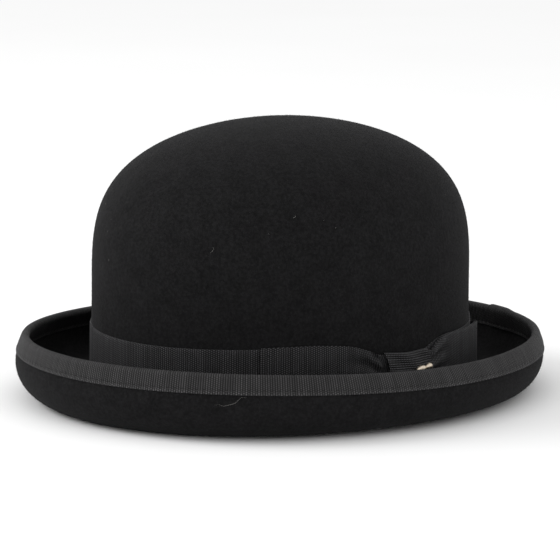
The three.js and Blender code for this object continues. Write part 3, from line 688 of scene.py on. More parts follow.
def brim_binding():
    """The binding is folded over the edge and runs once round, with one rib to every three
    columns. Its second end climbs over its first."""
    block, ribbons = sizes("hat_block"), sizes("hat_ribbons")
    start, end = ribbons.bind_join, ribbons.bind_join + TURN + ribbons.bind_lap

    def felt_edge(t):
        return near_edge(t, 0.0, 0.0)

    whole = even_angles(felt_edge, start, end, 2)[1]
    ribs = round(whole / ribbons.rib)
    t = even_angles(felt_edge, start, end, 3 * ribs)[0]
    wave, rib = rib_wave(3 * ribs, 3) / rib_wave(3, 3).max(), np.arange(3 * ribs) / 3
    climbed = start + TURN
    ramp = smoothstep(climbed - BINDING_CLIMB, climbed - BINDING_CLIMB / 4, t)
    lift = ramp * (ribbons.thick + SNUG)
    distance = block.felt / 2 + SNUG + lift
    few, round_rows = BINDING_ROWS[::-2], shares(6)[:-1]
    outer = np.concatenate([
        binding_side(t, ribbons.bind_outside * BINDING_ROWS, False, lift, wave, rib),
        round_edge(t, round_rows, distance + ribbons.thick - ribbons.rib_height * (1 - wave)),
        binding_side(t, ribbons.bind_inside * few, True, lift, wave, rib)])
    inner = np.concatenate([
        near_edge(t, ribbons.bind_outside * np.array([1, 0.5, 0.0])[:, None], -distance),
        round_edge(t, shares(4)[:-1], distance),
        near_edge(t, ribbons.bind_inside * np.array([0.0, 0.5, 1])[:, None], distance)])
    points = unevenness(sheet_ring(outer, inner))
    across = np.concatenate([
        ribbons.bind_outside * (1 - BINDING_ROWS[:, 0]),
        np.full(len(round_rows), ribbons.bind_outside),
        ribbons.bind_inside * (1 - few[:, 0]), np.zeros(len(inner) + 1)])
    uv = (rib[None, :], across[:, None] / ribbons.dot)
    piece = skin("brim_binding_ribbon", points, finish("Binding"),
                 closed=(True, False), uv=uv)
    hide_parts("brim_binding")
    per_stitch = round(ribbons.stitch_pitch / ribbons.rib)
    seams = np.interp(np.arange(per_stitch / 2, ribs - 1, per_stitch), rib, t)
    binding_stitches(seams, np.interp(seams, t, distance) + ribbons.thick - THREAD_SUNK)


def binding_stitches(seams, distance):
    """The stitches through the binding, at the angles seams, on both sides of the felt. distance
    is counted from the middle of the felt."""
    ribbons = sizes("hat_ribbons")
    for label, width, sign in (("outer", ribbons.bind_outside, -1), ("inner", ribbons.bind_inside, 1)):
        back, face = width - ribbons.stitch_inset, sign * distance
        middle = unevenness(near_edge(seams, back, face))
        outward = unit(near_edge(seams, back, face + sign * MM) - near_edge(seams, back, face))
        stitches(f"binding_stitches_{label}", middle, tangents(middle), outward, 2.2 * MM,
                 0.17 * MM, finish("Thread"))


def hat_band():
    """The band lies on the wall, with its ends meeting under the knot, four columns to a rib.
    Behind the bow its edges are gathered in, so that they stay inside the bow's."""
    ribbons = sizes("hat_ribbons")
    whole, spec = head_arc(), bow_spec(True)
    ribs = round(whole / ribbons.rib)
    behind = np.linspace(ribbons.band_seam / 2, whole - ribbons.band_seam / 2, 4 * ribs)
    t, wave = oval_angle(ribbons.bow_offset + behind), rib_wave(4 * ribs, 4)
    along = behind - whole * np.round(behind / whole)
    gather = 1 - smoothstep(spec["length"], spec["length"] + ribbons.band_release, np.abs(along))
    low, high = bow_edges(spec, along)
    low = np.maximum(low + ribbons.band_tuck - ribbons.band_foot, 0) * gather
    high = np.maximum(ribbons.band_foot + ribbons.band_width - high + ribbons.band_tuck, 0) * gather
    full = edge_fade(BAND_ROWS, ribbons.band_width, FRAYING)
    out = (SNUG + ribbons.thick * 0.62 + full * 0.12 * MM
           + wave * ribbons.rib_height * (0.5 + 0.5 * full))
    foot, tall = headline(t) + ribbons.band_foot + low, ribbons.band_width - low - high
    outer = wall(t, foot + BAND_ROWS * tall, out)
    inner = wall(t, foot + np.array([0, 0.5, 1])[:, None] * tall, SNUG)
    points = unevenness(sheet_ring(outer, inner))
    across = np.concatenate([BAND_ROWS[:, 0], [1, 0.5, 0], [0]]) * ribbons.band_width / ribbons.dot
    piece = skin("hat_band_ribbon", points, finish("Band"), closed=(True, False),
                 uv=(np.arange(4 * ribs)[None, :] / 4, across[:, None]))
    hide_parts("hat_band")


def on_band(along, out, up):
    """A place on the band, from the bow's middle: along it, out from its face, and up from the
    headline."""
    ribbons = sizes("hat_ribbons")
    t = oval_angle(ribbons.bow_offset + along)
    return wall(t, headline(t) + up, ribbons.gap + ribbons.thick + out)


def on_leather(along, out, up):
    """A place on the inner face of the sweatband, at the back."""
    t = oval_angle(head_arc() / 4 - along)
    return wall(t, headline(t) + up, leather_faces()[1] - out)


def bow_spec(outside):
    """Sizes of the side bow or of the small bow inside."""
    ribbons, inside = sizes("hat_ribbons"), sizes("hat_inside")
    if outside:
        return dict(length=ribbons.bow_length, knot=ribbons.knot_length, width=ribbons.bow_width,
                    pinch=ribbons.bow_pinch, run=ribbons.pinch_run, layer=ribbons.thick,
                    thick=ribbons.bow_thick, rib=ribbons.bow_rib, rib_height=ribbons.rib_height,
                    dot=ribbons.dot, flare=ribbons.rear_flare, sag=ribbons.bow_sag,
                    sag_run=ribbons.sag_run, fall=ribbons.knot_fall, bulge=ribbons.knot_bulge,
                    height=ribbons.band_foot + ribbons.band_width / 2,
                    pleat=ribbons.bow_pleat, puff=ribbons.bow_puff, slant=1.0, rows=25)
    return dict(length=inside.bow_length, knot=inside.knot_length, width=inside.bow_width,
                pinch=inside.bow_pinch, run=inside.pinch_run, layer=inside.tape,
                thick=inside.tape, rib=inside.bow_rib, rib_height=inside.rib_height,
                dot=inside.bow_dot, flare=0.0, sag=0.0, sag_run=inside.pinch_run, fall=0.0,
                bulge=inside.knot_bulge, height=leather_foot() + inside.bow_height,
                pleat=inside.bow_pleat, puff=inside.bow_puff, slant=0.0, rows=9)


def bow_middle(spec, along):
    """Height of a bow's middle line: it hangs by the sag, which the front wing makes up in a
    smooth rise, and it slopes down through the knot."""
    knot = spec["knot"]
    front = smoothstep(knot, knot + spec["sag_run"], -along)
    slope = np.clip(along / knot, -1, 1) * (1 - smoothstep(knot, knot + spec["run"], np.abs(along)))
    return spec["height"] - spec["sag"] * (1 - front) - spec["fall"] * slope


def bow_edges(spec, along):
    """Lower and upper edge of a bow: its wings open beside the knot by a parabola and then run
    level, and the lower edge comes no nearer to the brim than a straight ribbon's."""
    closed = 1 - np.clip((np.abs(along) - spec["knot"]) / spec["run"], 0, 1)
    half = (spec["width"] - (spec["width"] - spec["pinch"]) * closed ** 2) / 2
    middle = bow_middle(spec, along)
    return np.maximum(middle - half, spec["height"] - spec["width"] / 2), middle + half


def loop_path(spec, turn):
    """Columns along a flat loop, four to a rib: their places along the bow, their angles round
    it, and the loop's length. The angle is 0 on the front layer and half a turn on the back
    layer, and turns evenly through the half circle of each fold between them."""
    run, bend = 2 * spec["length"], np.pi * turn
    whole = 2 * run + 2 * bend
    columns = 4 * round(whole / spec["rib"])
    s = np.arange(columns) / columns * whole
    stretches = [s < run, s < run + bend, s < 2 * run + bend]
    around = np.select(stretches, [0 * s, (s - run) / turn, np.pi + 0 * s],
                       np.pi + (s - 2 * run - bend) / turn)
    along = np.select(stretches, [s - spec["length"], spec["length"] + 0 * s,
                                  spec["length"] - (s - run - bend)], -spec["length"])
    return along, around, whole


PLEAT_PITCH = 0.56  # from pleat to pleat, as a share of half the ribbon's width
FRONT_RIDGE = 0.46  # the front wing's ridge beside the knot, as such a share above the middle
RIDGE_CLIMB = 0.29  # and its rise away from the knot
REAR_RIDGE = 0.78


def pleat_height(spec, along, v):
    """Height of the pleats, at a place along the bow and v across it from -1 to 1: a cosine of v
    whose ridge climbs away from the knot on the front wing. The hollow above that ridge fades to
    a quarter away from the knot. The pleats rise out of the knot and die away along the wing."""
    knot, far = spec["knot"], np.abs(along)
    grip = smoothstep(knot - 0.5 * MM, knot + 3 * MM, far)
    grip = grip * (1 - smoothstep(knot + 5 * MM, knot + 1.1 * spec["run"], far))
    climb = RIDGE_CLIMB * smoothstep(knot, knot + 10 * MM, far)
    ridge = np.where(along < 0, FRONT_RIDGE + climb, REAR_RIDGE)
    fold = 0.5 + 0.5 * np.cos(TURN * (v - ridge) / PLEAT_PITCH)
    beside = 0.25 + 0.75 * (1 - smoothstep(knot, knot + 6 * MM, far))
    fold = np.where((along < 0) & (v > ridge), 1 - (1 - fold) * beside, fold)
    return spec["pleat"] * grip * fold


def bow_loop(name, spec, place, material):
    """A ribbon sewn into a flat loop. It lifts over the knot's ribbon, each wing's front layer
    swells by a sine along it, the rear wing stands off, and the ribs fan out beside the knot with
    the square of the width, most on the upper rear wing."""
    ribbons = sizes("hat_ribbons")
    turn = (spec["layer"] + ribbons.gap) / 2
    a, around, whole = loop_path(spec, turn)
    v = np.linspace(-1, 1, spec["rows"])[:, None]
    knot, far = spec["knot"], np.abs(a)
    low, high = bow_edges(spec, a)
    over = 1 - smoothstep(knot + MM, knot + 6 * MM, far)
    opening = np.clip((far - knot) / (spec["length"] - knot), 0, 1)
    puff = spec["puff"] * np.sin(np.pi * opening) * (0.5 + 0.5 * np.cos(around)) * (1 - v ** 4)
    lift = over * (spec["layer"] + ribbons.gap)
    lift = lift + smoothstep(knot, spec["length"], a) * spec["flare"]
    base = ribbons.gap + spec["layer"] / 2 + lift
    out = base + turn + turn * np.cos(around) + pleat_height(spec, a, v) + puff
    spread = np.where((a > 0) & (v > 0), ribbons.upper_fan, ribbons.other_fan)
    fan = np.sign(a) * spread * v ** 2 * (1 - smoothstep(knot + 2 * MM, knot + spec["run"], far))
    along = a + fan * smoothstep(0, knot, far) + turn * np.sin(around)
    up = (low + high) / 2 + v * (high - low) / 2
    full = edge_fade((v + 1) / 2, spec["width"], FRAYING)
    wave = rib_wave(len(a), 4) * spec["rib_height"] * (0.4 + 0.6 * full)

    def face(offset):
        return place(along + np.sin(around) * offset, out + np.cos(around) * offset, up)

    points = unevenness(sheet_ring(face(spec["thick"] / 2 - spec["rib_height"] + wave),
                                   face(-spec["thick"] / 2 + spec["rib_height"] - wave)))
    across = np.concatenate([v[:, 0], v[::-1, 0], [-1]]) * spec["width"] / 2 / spec["dot"]
    piece = skin(name, points, material,
                 uv=(np.arange(len(a) + 1)[None, :] / 4, across[:, None]))
    return piece, whole


KNOT_POWER = 5  # of the superellipse that the knot's loop follows
KNOT_SLANT = 0.34  # the knot's ribbon leans by this much, away from its top edge
SLANT_GROWTH = 0.08  # and by this much more at its rear end


def bow_knot(name, spec, place, material):
    """A ribbon taken round the middle of the bow: a squarish loop, a superellipse across the hat,
    whose face swells by a parabola. Its ribs run along the hat. On the side bow it slants
    backwards below its top edge, its upper part dips in the middle and rises at the rear by a
    parabola and a smooth step, and its face is softly dented by a sine."""
    gap = sizes("hat_ribbons").gap
    back = gap + spec["layer"] / 2
    deep = 3 * (spec["layer"] + gap) / 2
    half = spec["pinch"] / 2 + gap + spec["layer"] / 2
    fine = np.linspace(0, TURN, 2881)
    up = -half * np.sign(np.cos(fine)) * np.abs(np.cos(fine)) ** (2 / KNOT_POWER)
    reach = np.sign(np.sin(fine)) * np.abs(np.sin(fine)) ** (2 / KNOT_POWER)
    out = back + deep + deep * reach + spec["bulge"] * (1 - (up / half) ** 2) * np.maximum(reach, 0)
    arc = np.concatenate([[0.0], np.cumsum(np.hypot(np.diff(out), np.diff(up)))])
    ribs = round(arc[-1] / spec["rib"])
    at = np.arange(4 * ribs) / (4 * ribs) * arc[-1]
    step = 0.35 * spec["rib"]

    def path(where):
        where = where % arc[-1]
        return np.interp(where, arc, out), np.interp(where, arc, up)

    out_at, up_at = path(at)
    ahead, behind = path(at + step), path(at - step)
    normal = unit(np.stack([ahead[1] - behind[1], behind[0] - ahead[0]], -1))
    share = np.linspace(-1, 1, 25)[:, None]
    edge = edge_fade((share + 1) / 2, 2 * spec["knot"], 0.6 * MM)
    wave = rib_wave(4 * ribs, 4) * spec["rib_height"] * 1.25 * (0.4 + 0.6 * edge)
    level = (up_at + half) / (2 * half)

    def face(offset):
        high = up_at + normal[:, 1] * offset
        fall = 8 * MM * (1 - np.exp(-(half - high) / (8 * MM)))
        lean = spec["slant"] * (KNOT_SLANT + SLANT_GROWTH * share)
        tilt = spec["slant"] * 0.6 * MM * (smoothstep(0.05, 1.0, share) - 1 + share ** 2)
        tilt = tilt * np.clip(level, 0, 1) ** 1.5
        soft = spec["slant"] * 0.35 * MM * np.sin(5.0 * share + 9.0 * level) * (normal[:, 0] > 0.5)
        middle_line = bow_middle(spec, share * spec["knot"])
        return place(share * spec["knot"] + lean * fall, out_at + normal[:, 0] * offset + soft,
                     middle_line + high + tilt)

    points = unevenness(sheet_ring(face(spec["thick"] / 2 - spec["rib_height"] + wave),
                                   face(-spec["thick"] / 2)))
    across = np.concatenate([share[:, 0], share[::-1, 0], [-1]]) * spec["knot"] / spec["dot"]
    piece = skin(name, points, material,
                 uv=(np.arange(4 * ribs + 1)[None, :] / 4, across[:, None]))
    return piece, arc[-1]


TACK_FROM_END = 3 * MM
TACK_FROM_EDGE = 3.5 * MM
TACK_RISE = 0.28 * MM  # a tack stands this far out of the ribbon's middle


def side_bow():
    """The bow on the wearer's left, its knot and the tacks that hold it to the band."""
    spec = bow_spec(True)
    gap = sizes("hat_ribbons").gap
    loop, loop_length = bow_loop("side_bow_ribbon", spec, on_band, finish("Bow"))
    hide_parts("bow_loop")
    knot, knot_length = bow_knot("side_knot_ribbon", spec, on_band, finish("Knot"))
    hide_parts("bow_knot")
    along = np.array([-1, -1, 1, 1]) * (spec["length"] - TACK_FROM_END)
    low, high = bow_edges(spec, along)
    up = np.where([True, False, True, False], high - TACK_FROM_EDGE, low + TACK_FROM_EDGE)
    face = gap + spec["layer"] + gap + spec["layer"] / 2
    out = face + np.where(along > 0, spec["flare"], 0) + TACK_RISE
    middle = on_band(along, out, up)
    outward = unit(on_band(along, out + MM, up) - middle)
    upward = unit(on_band(along, out, up + MM) - middle)
    stitches("bow_tacks", unevenness(middle), upward, outward, 1.8 * MM, 0.3 * MM,
             finish("Dark thread"))


STEM_RADIUS = 0.6 * MM
STEM_PLACE = 2.4 * MM  # from the pin's middle towards the end of its long lobe
STEM_PAST = 0.9 * MM  # length of the stem past the knot's ribbon


def bow_pin():
    """A small pin of two lobes turned about one axis, a long one and a ball, whose radius is the
    sixth root of the summed sixth powers of three ellipses. It is gently hammered, by a product
    of sines, and stands on a stem through the knot."""
    ribbons, spec = sizes("hat_ribbons"), bow_spec(True)
    face = ribbons.gap + 4 * ribbons.thick + 3 * ribbons.gap + spec["bulge"]
    place, ball, half = ribbons.pin_along, ribbons.pin_ball, ribbons.pin_half
    height = bow_middle(spec, place) + ribbons.pin_rise
    origin = on_band(place, face + ribbons.gap + ball, height)
    outward = unit(on_band(place, face + 9 * MM, height) - on_band(place, 0.0, height))
    forward = np.cross(outward, [0, 0, 1])
    tilt = ribbons.pin_tilt
    upright = np.array([0, 0, 1])
    axis = -np.cos(tilt) * forward + np.sin(tilt) * upright
    across = np.sin(tilt) * forward + np.cos(tilt) * upright
    turn = np.arange(40) / 40 * TURN
    s = (-np.cos(np.linspace(0, np.pi, 49)) * half)[:, None]

    def lobe(middle, reach, girth):
        return girth * np.sqrt(np.maximum(1 - ((s - middle) / reach) ** 2, 0))

    radius = (lobe(-0.4 * half, 0.6 * half, 0.87 * ball) ** 6 + lobe(half - ball, ball, ball) ** 6
              + lobe(0.0, 0.92 * half, 0.5 * ball) ** 6) ** (1 / 6)
    dents = np.sin(3.1 * s / MM + 2 * turn) * np.sin(2.3 * s / MM - 3 * turn + 1)
    radius = radius * (1 + 0.035 * dents)
    points = (origin + axis * s[..., None]
              + (radius * np.cos(turn))[..., None] * across
              + (radius * np.sin(turn))[..., None] * outward)
    pin = skin("pin_head", points, finish("Pin"), closed=(False, True))
    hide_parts("bow_pin")
    deep = ball + ribbons.gap + ribbons.thick + STEM_PAST
    depth = np.linspace(0, 1, 6)[:, None, None] * deep
    depth[0], depth[-1] = depth[1], depth[-2]
    girth = STEM_RADIUS * np.array([0, 1, 1, 1, 1, 0])[:, None, None]
    ring = np.cos(turn)[:, None] * axis + np.sin(turn)[:, None] * across
    stem = origin - axis * STEM_PLACE - outward * depth + girth * ring
    skin("pin_stem", stem, finish("Pin"), closed=(False, True), sharp=40)


# ---------------------------------------------------------------------------------------------
# Inside the head opening
# ---------------------------------------------------------------------------------------------

def tape_face():
    """How far out the side of the tape next to the felt lies, counted from the outer felt."""
    return -sizes("hat_block").felt - sizes("hat_ribbons").gap


def leather_faces():
    """How far out the sweatband's outer and inner face lie."""
    inside = sizes("hat_inside")
    outer = tape_face() - inside.tape - sizes("hat_ribbons").gap
    return outer, outer - inside.leather


def leather_foot():
    """Height of the sweatband's lower edge over the headline, just above the taped reed."""
    inside, gap = sizes("hat_inside"), sizes("hat_ribbons").gap
    return inside.reed + gap + inside.tape - inside.reed_drop + gap


SEAM_LINE = 0.06  # the sweatband's stitches, as a share of its height
PRESSED_LINE = 0.9  # and the line that is pressed along its top
SEWN_PITCH = 2.6 * MM  # from stitch to stitch along the sweatband
LACED_AT = np.array([4, 8, 26, 31, 36, 41]) * MM  # heights at which its ends are laced together


def sweatband():
    """The leather, with its ends almost meeting at the back. It leans in a little at the top,
    waves gently, thins at its top edge, and has a pressed line along it."""
    inside = sizes("hat_inside")
    outer_face, inner_face = leather_faces()
    gap, whole = inside.band_gap, head_arc()
    along = whole / 4 + np.linspace(gap / 2, whole - gap / 2, 720)
    t, foot = oval_angle(along), headline(oval_angle(along)) + leather_foot()
    share = np.array([0, 0.006, 0.02, 0.05, 0.06, 0.07, 0.12, 0.22, 0.34, 0.46, 0.58, 0.7, 0.8, 0.87,
                      0.885, 0.9, 0.915, 0.93, 0.96, 0.98, 0.993, 1])[:, None]
    lean = -(0.5 * MM + 0.25 * MM * np.sin(9 * t) + 0.15 * MM * np.sin(23 * t + 1)) * share ** 2
    press = 0.12 * MM * np.exp(-((share - PRESSED_LINE) / 0.006) ** 2)
    pull = 0.15 * MM * np.exp(-((share - SEAM_LINE) / 0.01) ** 2)
    thin = inside.leather * (0.25 * np.exp(-(1 - share) / 0.02) + 0.2 * np.exp(-share / 0.01))
    face = wall(t, foot + share * inside.band_height, inner_face + lean + press + pull + thin)
    rear = wall(t, foot + share[::3] * inside.band_height, outer_face + lean[::3])
    points = unevenness(sheet_ring(face, rear))
    across = np.concatenate([share[:, 0], share[::3, 0][::-1], [0]]) * inside.band_height
    piece = skin("sweatband_leather", points, finish("Leather"),
                 closed=(True, False), uv=((along / MM)[None, :], across[:, None] / MM))
    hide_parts("sweatband")
    sewn = np.linspace(3 * MM, whole - 3 * MM, int(whole / SEWN_PITCH))
    seams = oval_angle(whole / 4 + sewn)
    height = headline(seams) + leather_foot() + SEAM_LINE * inside.band_height
    middle = wall(seams, height, inner_face + 0.1 * MM)
    outward = unit(wall(seams, height, inner_face - MM) - middle)
    stitches("sweatband_stitches", unevenness(middle), tangents(middle), outward, 1.7 * MM,
             0.16 * MM, finish("Dark thread"))
    level = np.repeat(leather_foot() + LACED_AT, 2)
    side = np.tile([1.0, -1.0], len(LACED_AT))
    middle = on_leather(np.zeros(len(level)), 0.08 * MM, level)
    outward = unit(on_leather(np.zeros(len(level)), MM, level) - middle)
    sideways = unit(on_leather(MM, 0.0, level) - on_leather(-MM, 0.0, level))
    slanted = unit(sideways + side[:, None] * np.array([0, 0, 0.8]))
    stitches("sweatband_lacing", unevenness(middle), slanted, outward, 5.2 * MM, 0.2 * MM,
             finish("Dark thread"))


TAPE_HOOK = np.radians(305)  # angle through which the tape goes round the reed


def reed_and_tape():
    """The reed is a ring of round section. The tape hangs down behind the leather, goes round
    the reed, and stops just short of itself."""
    inside, gap = sizes("hat_inside"), sizes("hat_ribbons").gap
    t = np.arange(360) / 360 * TURN
    out = tape_face() - inside.tape - gap - inside.reed
    level = headline(t) - inside.reed_drop
    around = (np.arange(12) / 12 * TURN)[:, None]
    ring = section(t, out + inside.reed * np.cos(around), level + inside.reed * np.sin(around))
    reed = skin("reed_rod", unevenness(ring), finish("Reed"))
    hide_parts("sweatband_reed")
    hook = -np.linspace(0, TAPE_HOOK, 22)[:, None]

    def face(radius):
        above = inside.tape_tail * (1 - shares(4, True)[:-1])
        return np.concatenate([
            section(t, out + radius, headline(t) + above),
            section(t, out + radius * np.cos(hook), level + radius * np.sin(hook))])

    outer = inside.reed + gap + inside.tape
    points = unevenness(sheet_ring(face(outer), face(outer - inside.tape)))
    tape = skin("reed_tape_cotton", points, finish("Tape"),
                uv=((np.arange(361) / 360 * head_arc() / MM)[None, :],
                    np.linspace(0, 40, len(points) + 1)[:, None]))
    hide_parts("reed_tape")
    head_arc()


def join_strip():
    """A patch of leather behind the gap between the sweatband's ends."""
    inside, whole = sizes("hat_inside"), head_arc()
    t = oval_angle(whole / 4 + np.linspace(-0.5, 0.5, 25) * inside.strip)
    foot = inside.tape_tail + MM
    top = leather_foot() + inside.band_height - inside.tuck - MM
    height = headline(t) + foot + (top - foot) * shares(12, True)
    face = tape_face()
    points = sheet_ring(wall(t, height, face), wall(t, height, face - inside.tape))
    piece = skin("join_patch", unevenness(points), finish("Leather"),
                 closed=(True, False))
    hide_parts("join_strip")


def small_bow():
    """The small bow on the sweatband, over the gap between its ends."""
    spec = bow_spec(False)
    loop, _ = bow_loop("small_bow_ribbon", spec, on_leather, finish("Small ribbon"))
    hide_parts("inner_bow_loop")
    knot, _ = bow_knot("small_knot_ribbon", spec, on_leather, finish("Small ribbon"))
    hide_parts("inner_bow_knot")


LINING_PART = np.radians(0.12)  # the side and the tip stay this far from their seam


def side_lining():
    """The side lining is tucked behind the leather and hangs off the dome in soft upright folds,
    a sum of sines round the hat that fade at both of its edges."""
    inside = sizes("hat_inside")
    columns = sizes("hat_block").columns
    t = np.arange(columns) / columns * TURN
    top = headline(t) + leather_foot() + inside.band_height
    face, loose, seam = tape_face(), tape_face() - inside.loose, inside.seam
    climb = (seam - LINING_PART) * shares(34, True) ** 1.4

    def folds(level):
        spread = np.sin(np.pi * np.clip(level, 0, 1)) ** 0.7
        phase = 0.9 * np.sin(3 * t + 1) + 0.5 * np.sin(7 * t)
        return spread * MM * (0.55 * np.sin(31 * t + 2.2 * phase) + 0.35 * np.sin(53 * t - 3 * phase)
                              + 0.3 * np.sin(11 * t + 5 * level))

    def side_face(inset):
        low = wall(t, top - inside.tuck + (inside.tuck + MM) * shares(5, True), face - inset)
        return np.concatenate([low, dome(t, climb, loose - inset + folds(climb / seam))])

    points = unevenness(sheet_ring(side_face(0.0), side_face(inside.tape)))
    rows = len(points) // 2
    profile = np.linalg.norm(np.diff(side_face(0.0), axis=0), axis=-1).mean(1)
    run = np.concatenate([[0], np.cumsum(profile)]) / MM
    uv = ((np.arange(columns + 1) / columns * head_arc() / MM)[None, :],
          np.concatenate([run, run[::-1], [0]])[:, None])
    side = skin("side_lining", points, finish("Lining"), uv=uv)
    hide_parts("lining_side")
    deep, whole = run[rows - 1] * MM, head_arc()


def tip_lining():
    """The oval tip closes the lining. It puckers near its seam, by a sine that fades with the
    distance from it, and sags in the middle by the square of a sine."""
    inside = sizes("hat_inside")
    columns = sizes("hat_block").columns
    t = np.arange(columns) / columns * TURN
    loose, seam = tape_face() - inside.loose, inside.seam
    share = shares(26, True)
    start = seam + LINING_PART
    climb_tip = start + (np.pi / 2 - start) * (1 - (1 - share) ** 1.5)
    pucker = 0.35 * MM * np.exp(-share / 0.12) * np.sin(64 * t + 3 * np.sin(5 * t))
    sag = -1.0 * MM * np.sin(np.pi / 2 * share) ** 2

    def tip_face(inset):
        return dome(t, climb_tip, loose - inset + sag + pucker * (1 - (2 * share - 1).clip(0)))

    points = unevenness(np.concatenate([tip_face(0.0)[::-1], tip_face(inside.tape)]))
    tip = skin("tip_lining", points, finish("Lining tip"), closed=(False, True))
    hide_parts("lining_tip")
    rim = tip_face(0.0)[0]


def lining_seam():
    """The small stitches across the seam between the side lining and the tip."""
    inside = sizes("hat_inside")
    loose, seam = tape_face() - inside.loose, inside.seam
    seams = even_angles(lambda a: dome(a, seam, loose), 0, TURN, 141)[0][:-1]
    middle = unevenness(dome(seams, seam, loose - inside.tape - 0.1 * MM))
    upward = unit(dome(seams, seam + 0.02, loose) - dome(seams, seam - 0.02, loose))
    outward = unit(dome(seams, seam, loose - MM) - dome(seams, seam, loose))
    stitches("lining_seam_stitches", middle, upward, outward, 1.6 * MM, 0.12 * MM,
             finish("Dark thread"))


# ---------------------------------------------------------------------------------------------
# Lint
# ---------------------------------------------------------------------------------------------

HAIR_GIRTH = 0.038 * MM
BRIM_HAIR = -0.894  # angle at which the longest hair lies, under the binding


def brim_hair(rings):
    """Middle line of the longest hair, close under the binding: level, then up in a smooth step,
    with a small wave."""
    felt, along = sizes("hat_block").felt, np.linspace(0, 1, rings)
    climb = (-4.6 + 3.7 * smoothstep(0.42, 0.9, along) + 0.25 * np.sin(17 * along)) * MM
    return curl(BRIM_HAIR + (along - 0.5) * 0.115, bare_end(BRIM_HAIR) + climb / brim_at(BRIM_HAIR)[1],
                0.0, -felt / 2 - 0.1 * MM)


def lint():
    """A few stray hairs on the felt, one at the brim and the rest on the dome, and short specks of
    the same kind. Each is a thin tube, and those on the dome follow a heading that adds up small
    random turns."""
    rng = np.random.default_rng(11)
    rings, sides = 18, 4
    around = np.arange(sides) / sides * TURN
    hairs = [(BRIM_HAIR, 0.0, 12.0), (-0.62, 0.35, 3.0), (-1.05, 0.16, 3.5)]
    specks = [(a, c, 0.7) for a, c in zip(rng.uniform(-2.2, 0.7, 10), rng.uniform(0.02, 0.5, 10))]
    copies = []
    for t0, climb0, reach in hairs + specks:
        heading = rng.uniform(0, TURN) + np.cumsum(rng.normal(0, 0.5 if reach > 1 else 0.2, rings))
        step = reach * MM / rings
        du, dv = np.cumsum(np.cos(heading)) * step, np.cumsum(np.sin(heading)) * step
        if t0 == BRIM_HAIR:
            spine = brim_hair(rings)
        else:
            spine = dome(t0 + du / 0.095, climb0 + dv / 0.09, 0.12 * MM)
        along = unit(np.gradient(spine, axis=0))
        side = unit(np.cross(along, [0.3, 0.2, 1.0]))
        other = np.cross(along, side)
        girth = HAIR_GIRTH * np.sin(np.linspace(0.25, np.pi - 0.25, rings))[:, None, None]
        ring = spine[:, None] + girth * (np.cos(around)[:, None] * side[:, None]
                                         + np.sin(around)[:, None] * other[:, None])
        copies.append(unevenness(ring).reshape(-1, 3))
    strew("lint", np.stack(copies), tube_faces(rings, sides), finish("Lint"))


# ---------------------------------------------------------------------------------------------
# Finishes
# ---------------------------------------------------------------------------------------------

def plug(tree, socket, value):
    """Links a socket to another, or sets its value."""
    if isinstance(value, bpy.types.NodeSocket):
        tree.links.new(value, socket)
    elif socket.type == "RGBA" and len(value) == 3:
        socket.default_value = (*value, 1.0)
    else:
        socket.default_value = value


def add(tree, kind, *values, settings=None, **named):
    """Adds a node. values fill its sockets in order, and named ones by their names."""
    node = tree.nodes.new("ShaderNode" + kind)
    for key, value in (settings or {}).items():
        setattr(node, key, value)
    for key, value in list(enumerate(values)) + list(named.items()):
        plug(tree, node.inputs[key.replace("_", " ") if isinstance(key, str) else key], value)
    return node


def maths(tree, operation, *values):
    """A Math node's result."""
    return add(tree, "Math", *values, settings={"operation": operation}).outputs[0]


def noise(tree, place, scale, detail=2.0, roughness=0.5):
    """A Noise texture's value at a place, with its scale in cells per unit."""
    node = add(tree, "TexNoise", Vector=place, Scale=scale, Detail=detail, Roughness=roughness)
    return node.outputs["Fac"]


def rescale(tree, value, low, high, to_low=0.0, to_high=1.0):
    """A value's range mapped smoothly to another range."""
    node = add(tree, "MapRange", value, low, high, to_low, to_high,
               settings={"interpolation_type": "SMOOTHSTEP"})
    return node.outputs[0]


def tint(tree, colour_, amount):
    """A colour times a number."""
    node = add(tree, "VectorMath", colour_, settings={"operation": "SCALE"})
    plug(tree, node.inputs["Scale"], amount)
    return node.outputs[0]


def mix(tree, amount, first, second):
    """A colour between two others."""
    node = tree.nodes.new("ShaderNodeMix")
    node.data_type = "RGBA"
    for index, value in ((0, amount), (6, first), (7, second)):
        plug(tree, node.inputs[index], value)
    return node.outputs[2]


def group(name, inputs, outputs, build):
    """A node group with named inputs and outputs, built once. build gets the group's tree and its
    input sockets, and returns the output values by name."""
    tree = bpy.data.node_groups.get(name)
    if tree:
        return tree
    tree = bpy.data.node_groups.new(name, "ShaderNodeTree")
    for label, kind in inputs.items():
        tree.interface.new_socket(label, in_out="INPUT", socket_type="NodeSocket" + kind)
    for label, kind in outputs.items():
        tree.interface.new_socket(label, in_out="OUTPUT", socket_type="NodeSocket" + kind)
    results = build(tree, tree.nodes.new("NodeGroupInput").outputs)
    end = tree.nodes.new("NodeGroupOutput")
    for label, value in results.items():
        plug(tree, end.inputs[label], value)
    return tree


def use(tree, group_tree, **values):
    """Places a group in a material with its own values, and gives its outputs."""
    node = tree.nodes.new("ShaderNodeGroup")
    node.node_tree = group_tree
    for key, value in values.items():
        plug(tree, node.inputs[key.replace("_", " ")], value)
    return node.outputs


